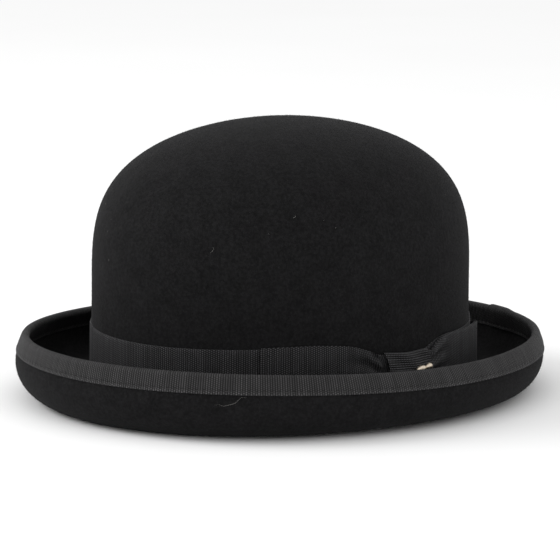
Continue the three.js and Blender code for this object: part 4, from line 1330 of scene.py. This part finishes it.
def weave_group():
    """Grosgrain: each rib is a hump, crossed by warp threads that show as dots, which shift by half a
    step from rib to rib, and each rib takes the dye a little differently. The colour is darker in the
    furrows and lighter on the rib tops: painted shade and a painted highlight that follow the hump."""
    def build(tree, sockets):
        x, y, _ = add(tree, "SeparateXYZ", sockets["Place"]).outputs
        rib = maths(tree, "FLOOR", x)
        inside = maths(tree, "FRACT", x)
        hump = maths(tree, "SINE", maths(tree, "MULTIPLY", inside, np.pi))
        parity = maths(tree, "MULTIPLY", maths(tree, "MODULO", rib, 2.0), 0.5)
        pick = maths(tree, "MULTIPLY", maths(tree, "ADD", y, parity), TURN)
        dots = maths(tree, "MULTIPLY_ADD", maths(tree, "SINE", pick), 0.5, 0.5)
        dye = add(tree, "TexWhiteNoise", W=rib, settings={"noise_dimensions": "1D"}).outputs["Value"]
        wear = noise(tree, sockets["Object place"], 150.0, 5.0, 0.7)
        # painted shade in the furrows between the ribs and a painted highlight on their tops
        light = maths(tree, "MULTIPLY_ADD", maths(tree, "MULTIPLY", hump, hump), 1.5, 0.08)
        depth = sockets["Dot depth"]
        even = maths(tree, "MULTIPLY_ADD", depth, -0.5, 1.0)
        spread = maths(tree, "MULTIPLY_ADD", dots, depth, even)
        light = maths(tree, "MULTIPLY", light, spread)
        light = maths(tree, "MULTIPLY", light, maths(tree, "MULTIPLY_ADD", dye, 0.5, 0.75))
        light = maths(tree, "MULTIPLY", light, maths(tree, "MULTIPLY_ADD", wear, 0.9, 0.55))
        height = maths(tree, "MULTIPLY", hump, maths(tree, "MULTIPLY_ADD", dots, 0.6, 0.4))
        return {"Colour": tint(tree, sockets["Base"], light), "Height": height, "Dots": dots}
    return group("Grosgrain weave", {"Place": "Vector", "Object place": "Vector", "Base": "Color",
                                     "Dot depth": "Float"},
                 {"Colour": "Color", "Height": "Float", "Dots": "Float"}, build)


def felt_group():
    """Felt: matted fibres seen as fine noise drawn out one way, with lighter fibre tips, soft
    blotches of dye, and shallow dimples."""
    def build(tree, sockets):
        place = sockets["Place"]
        drawn = add(tree, "Mapping", Vector=place, Scale=(1.0, 1.0, 0.55)).outputs[0]
        fibre = noise(tree, drawn, 2600.0, 3.0, 0.65)
        matted = noise(tree, place, 620.0, 4.0, 0.6)
        blotch = noise(tree, place, 110.0, 5.0, 0.6)
        tips = rescale(tree, fibre, 0.52, 0.74)
        tips = maths(tree, "MULTIPLY", tips, rescale(tree, matted, 0.35, 0.7, 0.35, 1.0))
        light = maths(tree, "MULTIPLY_ADD", blotch, 1.0, 0.5)
        dark = maths(tree, "MULTIPLY_ADD", rescale(tree, matted, 0.32, 0.68), 0.55, 0.72)
        body = tint(tree, sockets["Base"], maths(tree, "MULTIPLY", light, dark))
        height = maths(tree, "MULTIPLY_ADD", matted, 0.55, maths(tree, "MULTIPLY", fibre, 0.45))
        return {"Colour": mix(tree, tips, body, sockets["Tips"]), "Height": height}
    return group("Felt grain", {"Place": "Vector", "Base": "Color", "Tips": "Color"},
                 {"Colour": "Color", "Height": "Float"}, build)


def satin_group():
    """Satin: close warp threads that float over many wefts, with slubs and slow shade changes."""
    def build(tree, sockets):
        x, y, _ = add(tree, "SeparateXYZ", sockets["Place"]).outputs
        warp = maths(tree, "SINE", maths(tree, "MULTIPLY", x, TURN * 2.6))
        weft = maths(tree, "SINE", maths(tree, "MULTIPLY_ADD", y, TURN * 1.6, x))
        slub = noise(tree, add(tree, "CombineXYZ", maths(tree, "MULTIPLY", x, 3.0),
                               maths(tree, "MULTIPLY", y, 0.08)).outputs[0], 1.0, 2.0)
        cloud = noise(tree, sockets["Object place"], 60.0, 2.0)
        weave = maths(tree, "MULTIPLY_ADD", warp, 0.35, maths(tree, "MULTIPLY_ADD", weft, 0.15, 0.5))
        light = maths(tree, "MULTIPLY_ADD", weave, 0.4, 0.55)
        light = maths(tree, "MULTIPLY", light, maths(tree, "MULTIPLY_ADD", slub, 0.6, 0.7))
        light = maths(tree, "MULTIPLY", light, maths(tree, "MULTIPLY_ADD", cloud, 0.4, 0.8))
        rough = maths(tree, "MULTIPLY_ADD", slub, 0.22, 0.22)
        return {"Colour": tint(tree, sockets["Base"], light), "Height": weave, "Roughness": rough}
    return group("Satin weave", {"Place": "Vector", "Object place": "Vector", "Base": "Color"},
                 {"Colour": "Color", "Height": "Float", "Roughness": "Float"}, build)


def start_finish(name):
    """A new material with its shader, and the object and weave places."""
    material = bpy.data.materials.new(name)
    material.use_nodes = True
    tree = material.node_tree
    shader = tree.nodes["Principled BSDF"]
    coordinates = add(tree, "TexCoord")
    return material, tree, shader, coordinates.outputs["Object"], coordinates.outputs["UV"]


def bump(tree, shader, height, distance, strength=1.0):
    """Feeds a height, in units of distance, to the shader's normal."""
    node = add(tree, "Bump", Strength=strength, Distance=distance, Height=height)
    plug(tree, shader.inputs["Normal"], node.outputs[0])


def set_shader(shader, **values):
    """Sets constants on the shader's own sockets."""
    for key, value in values.items():
        plug(None, shader.inputs[key.replace("_", " ")], value)


def felt_finish(name):
    """Matt wool felt with a faint sheen from its nap."""
    material, tree, shader, place, _ = start_finish(name)
    colours = sizes("hat_colours")
    grain = use(tree, felt_group(), Place=place, Base=colours.felt, Tips=colours.felt_nap)
    plug(tree, shader.inputs["Base Color"], grain["Colour"])
    set_shader(shader, Roughness=1.0, Specular_IOR_Level=0.08, Sheen_Weight=0.036,
               Sheen_Roughness=0.45, Sheen_Tint=(0.55, 0.55, 0.57))
    bump(tree, shader, grain["Height"], 0.35 * MM, 0.7)
    return material


def nap_finish(name):
    """Single fibres of the nap, lighter towards some tips."""
    material, tree, shader, place, _ = start_finish(name)
    colours = sizes("hat_colours")
    shade = rescale(tree, noise(tree, place, 900.0), 0.3, 0.7)
    plug(tree, shader.inputs["Base Color"], mix(tree, shade, colours.felt, colours.felt_nap))
    set_shader(shader, Roughness=1.0, Specular_IOR_Level=0.05)
    return material


def seam_shade(tree, weave_place):
    """Shade of the binding near its selvedges, worked out in millimetres: paler where the loose edge
    catches the light, a painted highlight, and dark at each needle hole, painted shade, a round spot
    that fades out as a power of the squared distance."""
    ribbons = sizes("hat_ribbons")
    rib, dot, _ = add(tree, "SeparateXYZ", weave_place).outputs
    pitch = ribbons.stitch_pitch / MM
    off = maths(tree, "MULTIPLY_ADD", maths(tree, "FRACT", maths(
        tree, "DIVIDE", rib, ribbons.stitch_pitch / ribbons.rib)), pitch, -0.5 * pitch)
    inward = maths(tree, "MULTIPLY", dot, ribbons.dot / MM)
    across = maths(tree, "ADD", inward, -ribbons.stitch_inset / MM)
    apart = maths(tree, "ADD", maths(tree, "MULTIPLY", off, off),
                  maths(tree, "MULTIPLY", across, across))
    # painted shade in each needle hole
    needle_hole_shade = maths(tree, "POWER", 0.05, apart)
    pale = rescale(tree, inward, 0.5, 1.7, 1.5, 1.0)
    return maths(tree, "MULTIPLY", pale, maths(tree, "MULTIPLY_ADD", needle_hole_shade, -0.8, 1.0))


def grosgrain_finish(name):
    """Ribbed ribbon in one of the hat's ribbon colours, with the soft gloss of its warp."""
    material, tree, shader, place, weave_place = start_finish(name)
    colours = sizes("hat_colours")
    edged = name == "Binding"
    weave = use(tree, weave_group(), Place=weave_place, Object_place=place,
                Base=colours.binding if edged else colours.band, Dot_depth=1.0 if edged else 2.0)
    # the binding's colour also carries a painted highlight along its selvedges and painted shade in
    # its needle holes
    shade = seam_shade(tree, weave_place) if edged else 1.0
    plug(tree, shader.inputs["Base Color"], tint(tree, weave["Colour"], shade))
    plug(tree, shader.inputs["Roughness"], maths(tree, "MULTIPLY_ADD", weave["Dots"], -0.12, 0.72))
    set_shader(shader, Specular_IOR_Level=0.22, Sheen_Weight=0.06, Sheen_Roughness=0.4,
               Sheen_Tint=(0.6, 0.6, 0.62))
    bump(tree, shader, weave["Height"], 0.16 * MM)
    return material


def thread_finish(name):
    """Twisted sewing thread: fine slanting plies."""
    material, tree, shader, place, _ = start_finish(name)
    x, y, z = add(tree, "SeparateXYZ", place).outputs
    slant = maths(tree, "ADD", maths(tree, "ADD", x, y), z)
    phase = maths(tree, "MULTIPLY", slant, TURN * 3200)
    ply = maths(tree, "MULTIPLY_ADD", maths(tree, "SINE", phase), 0.5, 0.5)
    light = maths(tree, "MULTIPLY_ADD", ply, 0.6, 0.6)
    colours = sizes("hat_colours")
    base = colours.thread if name == "Thread" else colours.dark_thread
    plug(tree, shader.inputs["Base Color"], tint(tree, base, light))
    set_shader(shader, Roughness=0.7, Specular_IOR_Level=0.2)
    bump(tree, shader, ply, 0.05 * MM)
    return material


def pin_finish(name):
    """Pale plated metal, finely brushed, a little duller and darker in its low places."""
    material, tree, shader, place, _ = start_finish(name)
    dull = noise(tree, place, 900.0, 4.0, 0.6)
    brushed = add(tree, "Mapping", Vector=place, Scale=(0.3, 1.0, 3.0)).outputs[0]
    fine = noise(tree, brushed, 6000.0, 3.0)
    shade = maths(tree, "MULTIPLY_ADD", dull, 0.35, 0.8)
    plug(tree, shader.inputs["Base Color"], tint(tree, sizes("hat_colours").pin, shade))
    plug(tree, shader.inputs["Roughness"], maths(tree, "MULTIPLY_ADD", fine, 0.25, 0.22))
    set_shader(shader, Metallic=1.0)
    bump(tree, shader, maths(tree, "MULTIPLY_ADD", dull, 0.8, maths(tree, "MULTIPLY", fine, 0.2)),
         0.12 * MM, 0.6)
    return material


def leather_finish(name):
    """Roan leather: small pebbles between creases, pores, and a soft polish where it is handled. The
    colour is darker towards the creases, painted shade.
    """
    material, tree, shader, place, _ = start_finish(name)
    bent = add(tree, "VectorMath", place, tint(
        tree, add(tree, "TexNoise", Vector=place, Scale=260.0).outputs["Color"], 0.0012),
        settings={"operation": "ADD"}).outputs[0]
    cells = add(tree, "TexVoronoi", Vector=bent, Scale=780.0,
                settings={"feature": "DISTANCE_TO_EDGE"}).outputs["Distance"]
    pebble = rescale(tree, cells, 0.0, 0.22)
    pores = noise(tree, place, 2400.0, 3.0)
    cloud = noise(tree, place, 45.0, 3.0)
    # darker towards the creases between the pebbles: painted shade
    light = maths(tree, "MULTIPLY_ADD", pebble, 0.4, 0.62)
    light = maths(tree, "MULTIPLY", light, maths(tree, "MULTIPLY_ADD", cloud, 0.6, 0.7))
    plug(tree, shader.inputs["Base Color"], tint(tree, sizes("hat_colours").leather, light))
    plug(tree, shader.inputs["Roughness"], maths(tree, "MULTIPLY_ADD", cloud, -0.22, 0.62))
    set_shader(shader, Specular_IOR_Level=0.4)
    bump(tree, shader, maths(tree, "MULTIPLY_ADD", pores, 0.2, pebble), 0.12 * MM)
    return material


def satin_finish(name):
    """Satin for the lining and the small ribbon. The tip has no weave places of its own, so its
    threads follow the hat's length and width."""
    material, tree, shader, place, weave_place = start_finish(name)
    if name == "Lining tip":
        weave_place = add(tree, "VectorMath", place, (1000.0, 1000.0, 0.0),
                          settings={"operation": "MULTIPLY"}).outputs[0]
    base = sizes("hat_colours").lining
    weave = use(tree, satin_group(), Place=weave_place, Object_place=place, Base=base)
    plug(tree, shader.inputs["Base Color"], weave["Colour"])
    plug(tree, shader.inputs["Roughness"], weave["Roughness"])
    set_shader(shader, Specular_IOR_Level=0.45, Sheen_Weight=0.05)
    bump(tree, shader, weave["Height"], 0.04 * MM, 0.7)
    return material


def tape_finish(name):
    """Cotton tape in a fine herringbone."""
    material, tree, shader, place, weave_place = start_finish(name)
    x, y, _ = add(tree, "SeparateXYZ", weave_place).outputs
    fold = maths(tree, "PINGPONG", x, 2.0)
    line = maths(tree, "SINE", maths(tree, "MULTIPLY", maths(tree, "ADD", fold, y), TURN * 1.1))
    weave = maths(tree, "MULTIPLY_ADD", line, 0.5, 0.5)
    cloud = noise(tree, place, 220.0, 3.0)
    light = maths(tree, "MULTIPLY_ADD", weave, 0.5, maths(tree, "MULTIPLY_ADD", cloud, 0.5, 0.5))
    plug(tree, shader.inputs["Base Color"], tint(tree, sizes("hat_colours").tape, light))
    set_shader(shader, Roughness=0.95, Specular_IOR_Level=0.1)
    bump(tree, shader, weave, 0.08 * MM)
    return material


def plain_finish(name):
    """Bare reed, or a hair of lint: streaks along the hat's height and a soft grain."""
    material, tree, shader, place, _ = start_finish(name)
    colours = sizes("hat_colours")
    drawn = add(tree, "Mapping", Vector=place, Scale=(1.0, 1.0, 0.2)).outputs[0]
    streaks = noise(tree, drawn, 1500.0, 4.0)
    light = maths(tree, "MULTIPLY_ADD", streaks, 0.8, 0.6)
    base = colours.reed if name == "Reed" else colours.lint
    plug(tree, shader.inputs["Base Color"], tint(tree, base, light))
    plug(tree, shader.inputs["Roughness"], maths(tree, "MULTIPLY_ADD", streaks, 0.3, 0.45))
    bump(tree, shader, streaks, 0.06 * MM)
    return material


MAKERS = {
    "Felt": felt_finish, "Nap": nap_finish, "Binding": grosgrain_finish, "Band": grosgrain_finish,
    "Bow": grosgrain_finish, "Knot": grosgrain_finish, "Thread": thread_finish,
    "Dark thread": thread_finish, "Pin": pin_finish, "Leather": leather_finish,
    "Lining": satin_finish, "Lining tip": satin_finish, "Small ribbon": satin_finish,
    "Tape": tape_finish, "Reed": plain_finish, "Lint": plain_finish,
}


def finish(name):
    """The material of that name, made when it is first asked for."""
    return bpy.data.materials.get(name) or MAKERS[name](name)


# ---------------------------------------------------------------------------------------------
# Stage
# ---------------------------------------------------------------------------------------------

def area_light(name, place, aim, size, power):
    """A square soft light at a place, turned to the point that it lights."""
    light = bpy.data.lights.new(name, "AREA")
    light.size, light.energy = size, power
    lamp = bpy.data.objects.new(name, light)
    facing = (Vector(aim) - Vector(place)).to_track_quat("-Z", "Y")
    lamp.matrix_world = Matrix.Translation(place) @ facing.to_matrix().to_4x4()
    bpy.context.scene.collection.objects.link(lamp)


FLOOR_SIDES = 96


def stage():
    """A pale round floor, white surroundings, two soft lights and the camera. The camera looks
    along the direction of its azimuth and elevation, and is rolled about it."""
    scene, studio = bpy.context.scene, sizes("hat_studio")
    around = np.arange(FLOOR_SIDES) / FLOOR_SIDES * TURN
    ring = studio.floor * np.stack([np.cos(around), np.sin(around), 0 * around], -1)
    mesh = bpy.data.meshes.new("floor")
    mesh.from_pydata(ring.tolist(), [], [list(range(FLOOR_SIDES))])
    material, tree, shader, place, _ = start_finish("Floor")
    shade = maths(tree, "MULTIPLY_ADD", noise(tree, place, 3.0), 0.03, 0.90)
    plug(tree, shader.inputs["Base Color"], tint(tree, (1.0, 1.0, 1.0), shade))
    set_shader(shader, Roughness=1.0, Specular_IOR_Level=0.0)
    mesh.materials.append(material)
    floor = bpy.data.objects.new("floor", mesh)
    scene.collection.objects.link(floor)

    world = bpy.data.worlds.new("Studio")
    world.use_nodes = True
    background = world.node_tree.nodes["Background"]
    background.inputs["Color"].default_value = (1, 1, 1, 1)
    background.inputs["Strength"].default_value = studio.sky
    scene.world = world
    scene.view_settings.view_transform = "Standard"
    middle = (0, 0, CROWN_BOX[1][2] / 2)
    area_light("key_light", studio.key_place, middle, studio.lamp, studio.key)
    area_light("fill_light", studio.fill_place, middle, studio.lamp, studio.fill)

    az, el, roll = studio.azimuth, studio.elevation, studio.roll
    right = Vector((np.cos(az), np.sin(az), 0))
    back = Vector((np.sin(az) * np.cos(el), -np.cos(az) * np.cos(el), np.sin(el)))
    up = back.cross(right)
    eye = right * studio.aim_side + Vector((0, 0, studio.aim_height)) + back * studio.distance
    columns = (right * np.cos(roll) + up * np.sin(roll),
               up * np.cos(roll) - right * np.sin(roll), back)
    data = bpy.data.cameras.new("camera")
    data.lens, data.sensor_width, data.clip_end = studio.lens, studio.sensor, 50.0
    camera = bpy.data.objects.new("camera", data)
    camera.matrix_world = Matrix.Translation(eye) @ Matrix(columns).transposed().to_4x4()
    scene.collection.objects.link(camera)
    scene.camera = camera


# ---------------------------------------------------------------------------------------------
# Operators and panel
# ---------------------------------------------------------------------------------------------

class HAT_OT_stage(bpy.types.Operator):
    """Set the floor, the lights and the camera"""
    bl_idname = "hat.stage"
    bl_label = "Stage"

    def execute(self, context):
        stage()
        return {"FINISHED"}


class HAT_OT_felt_body(bpy.types.Operator):
    """Build the blocked felt of crown and brim"""
    bl_idname = "hat.felt_body"
    bl_label = "Felt body"

    def execute(self, context):
        felt_body()
        return {"FINISHED"}


class HAT_OT_nap(bpy.types.Operator):
    """Raise the nap on the felt"""
    bl_idname = "hat.nap"
    bl_label = "Nap"

    def execute(self, context):
        felt_naps()
        return {"FINISHED"}


class HAT_OT_binding(bpy.types.Operator):
    """Bind the brim and stitch the binding"""
    bl_idname = "hat.binding"
    bl_label = "Brim binding"

    def execute(self, context):
        brim_binding()
        return {"FINISHED"}


class HAT_OT_band(bpy.types.Operator):
    """Lay the band round the crown"""
    bl_idname = "hat.band"
    bl_label = "Hat band"

    def execute(self, context):
        hat_band()
        return {"FINISHED"}


class HAT_OT_side_bow(bpy.types.Operator):
    """Fold the side bow, tie its knot and tack it down"""
    bl_idname = "hat.side_bow"
    bl_label = "Side bow"

    def execute(self, context):
        side_bow()
        return {"FINISHED"}


class HAT_OT_pin(bpy.types.Operator):
    """Put the pin through the knot"""
    bl_idname = "hat.pin"
    bl_label = "Bow pin"

    def execute(self, context):
        bow_pin()
        return {"FINISHED"}


class HAT_OT_sweatband(bpy.types.Operator):
    """Sew in the sweatband and lace its ends"""
    bl_idname = "hat.sweatband"
    bl_label = "Sweatband"

    def execute(self, context):
        sweatband()
        return {"FINISHED"}


class HAT_OT_reed(bpy.types.Operator):
    """Lay the reed and its tape"""
    bl_idname = "hat.reed"
    bl_label = "Reed and tape"

    def execute(self, context):
        reed_and_tape()
        join_strip()
        return {"FINISHED"}


class HAT_OT_small_bow(bpy.types.Operator):
    """Tie the small bow on the sweatband"""
    bl_idname = "hat.small_bow"
    bl_label = "Small bow"

    def execute(self, context):
        small_bow()
        return {"FINISHED"}


class HAT_OT_lining(bpy.types.Operator):
    """Hang the lining and sew in its tip"""
    bl_idname = "hat.lining"
    bl_label = "Lining"

    def execute(self, context):
        side_lining()
        tip_lining()
        lining_seam()
        return {"FINISHED"}


class HAT_OT_lint(bpy.types.Operator):
    """Leave a few hairs of lint on the felt"""
    bl_idname = "hat.lint"
    bl_label = "Lint"

    def execute(self, context):
        lint()
        return {"FINISHED"}


OPERATORS = (HAT_OT_stage, HAT_OT_felt_body, HAT_OT_nap, HAT_OT_binding, HAT_OT_band,
             HAT_OT_side_bow, HAT_OT_pin, HAT_OT_sweatband, HAT_OT_reed, HAT_OT_small_bow,
             HAT_OT_lining, HAT_OT_lint)


class HAT_PT_panel(bpy.types.Panel):
    """Lists the hat's sizes and its building steps"""
    bl_idname = "HAT_PT_panel"
    bl_label = "Bowler Hat"
    bl_space_type = "VIEW_3D"
    bl_region_type = "UI"
    bl_category = "Hat"

    def draw(self, context):
        layout = self.layout
        for name, kind in GROUPS.items():
            box = layout.box()
            box.label(text=name.replace("hat_", "").capitalize())
            for key in kind.__annotations__:
                box.prop(getattr(context.scene, name), key)
        for operator in OPERATORS:
            layout.operator(operator.bl_idname)


def register():
    """Makes the hat's sizes, steps and panel known, and hangs the sizes on the scene."""
    for name, kind in GROUPS.items():
        bpy.utils.register_class(kind)
        setattr(bpy.types.Scene, name, bpy.props.PointerProperty(type=kind))
    for kind in (*OPERATORS, HAT_PT_panel):
        bpy.utils.register_class(kind)


def unregister():
    """Takes them away again in the opposite order."""
    for kind in reversed((*OPERATORS, HAT_PT_panel)):
        bpy.utils.unregister_class(kind)
    for name, kind in reversed(GROUPS.items()):
        delattr(bpy.types.Scene, name)
        bpy.utils.unregister_class(kind)


def main():
    """Builds the hat step by step."""
    register()
    for step in (bpy.ops.hat.stage, bpy.ops.hat.felt_body, bpy.ops.hat.nap, bpy.ops.hat.binding,
                 bpy.ops.hat.band, bpy.ops.hat.side_bow, bpy.ops.hat.pin, bpy.ops.hat.sweatband,
                 bpy.ops.hat.reed, bpy.ops.hat.small_bow, bpy.ops.hat.lining, bpy.ops.hat.lint):
        step()


if __name__ == "__main__":
    main()
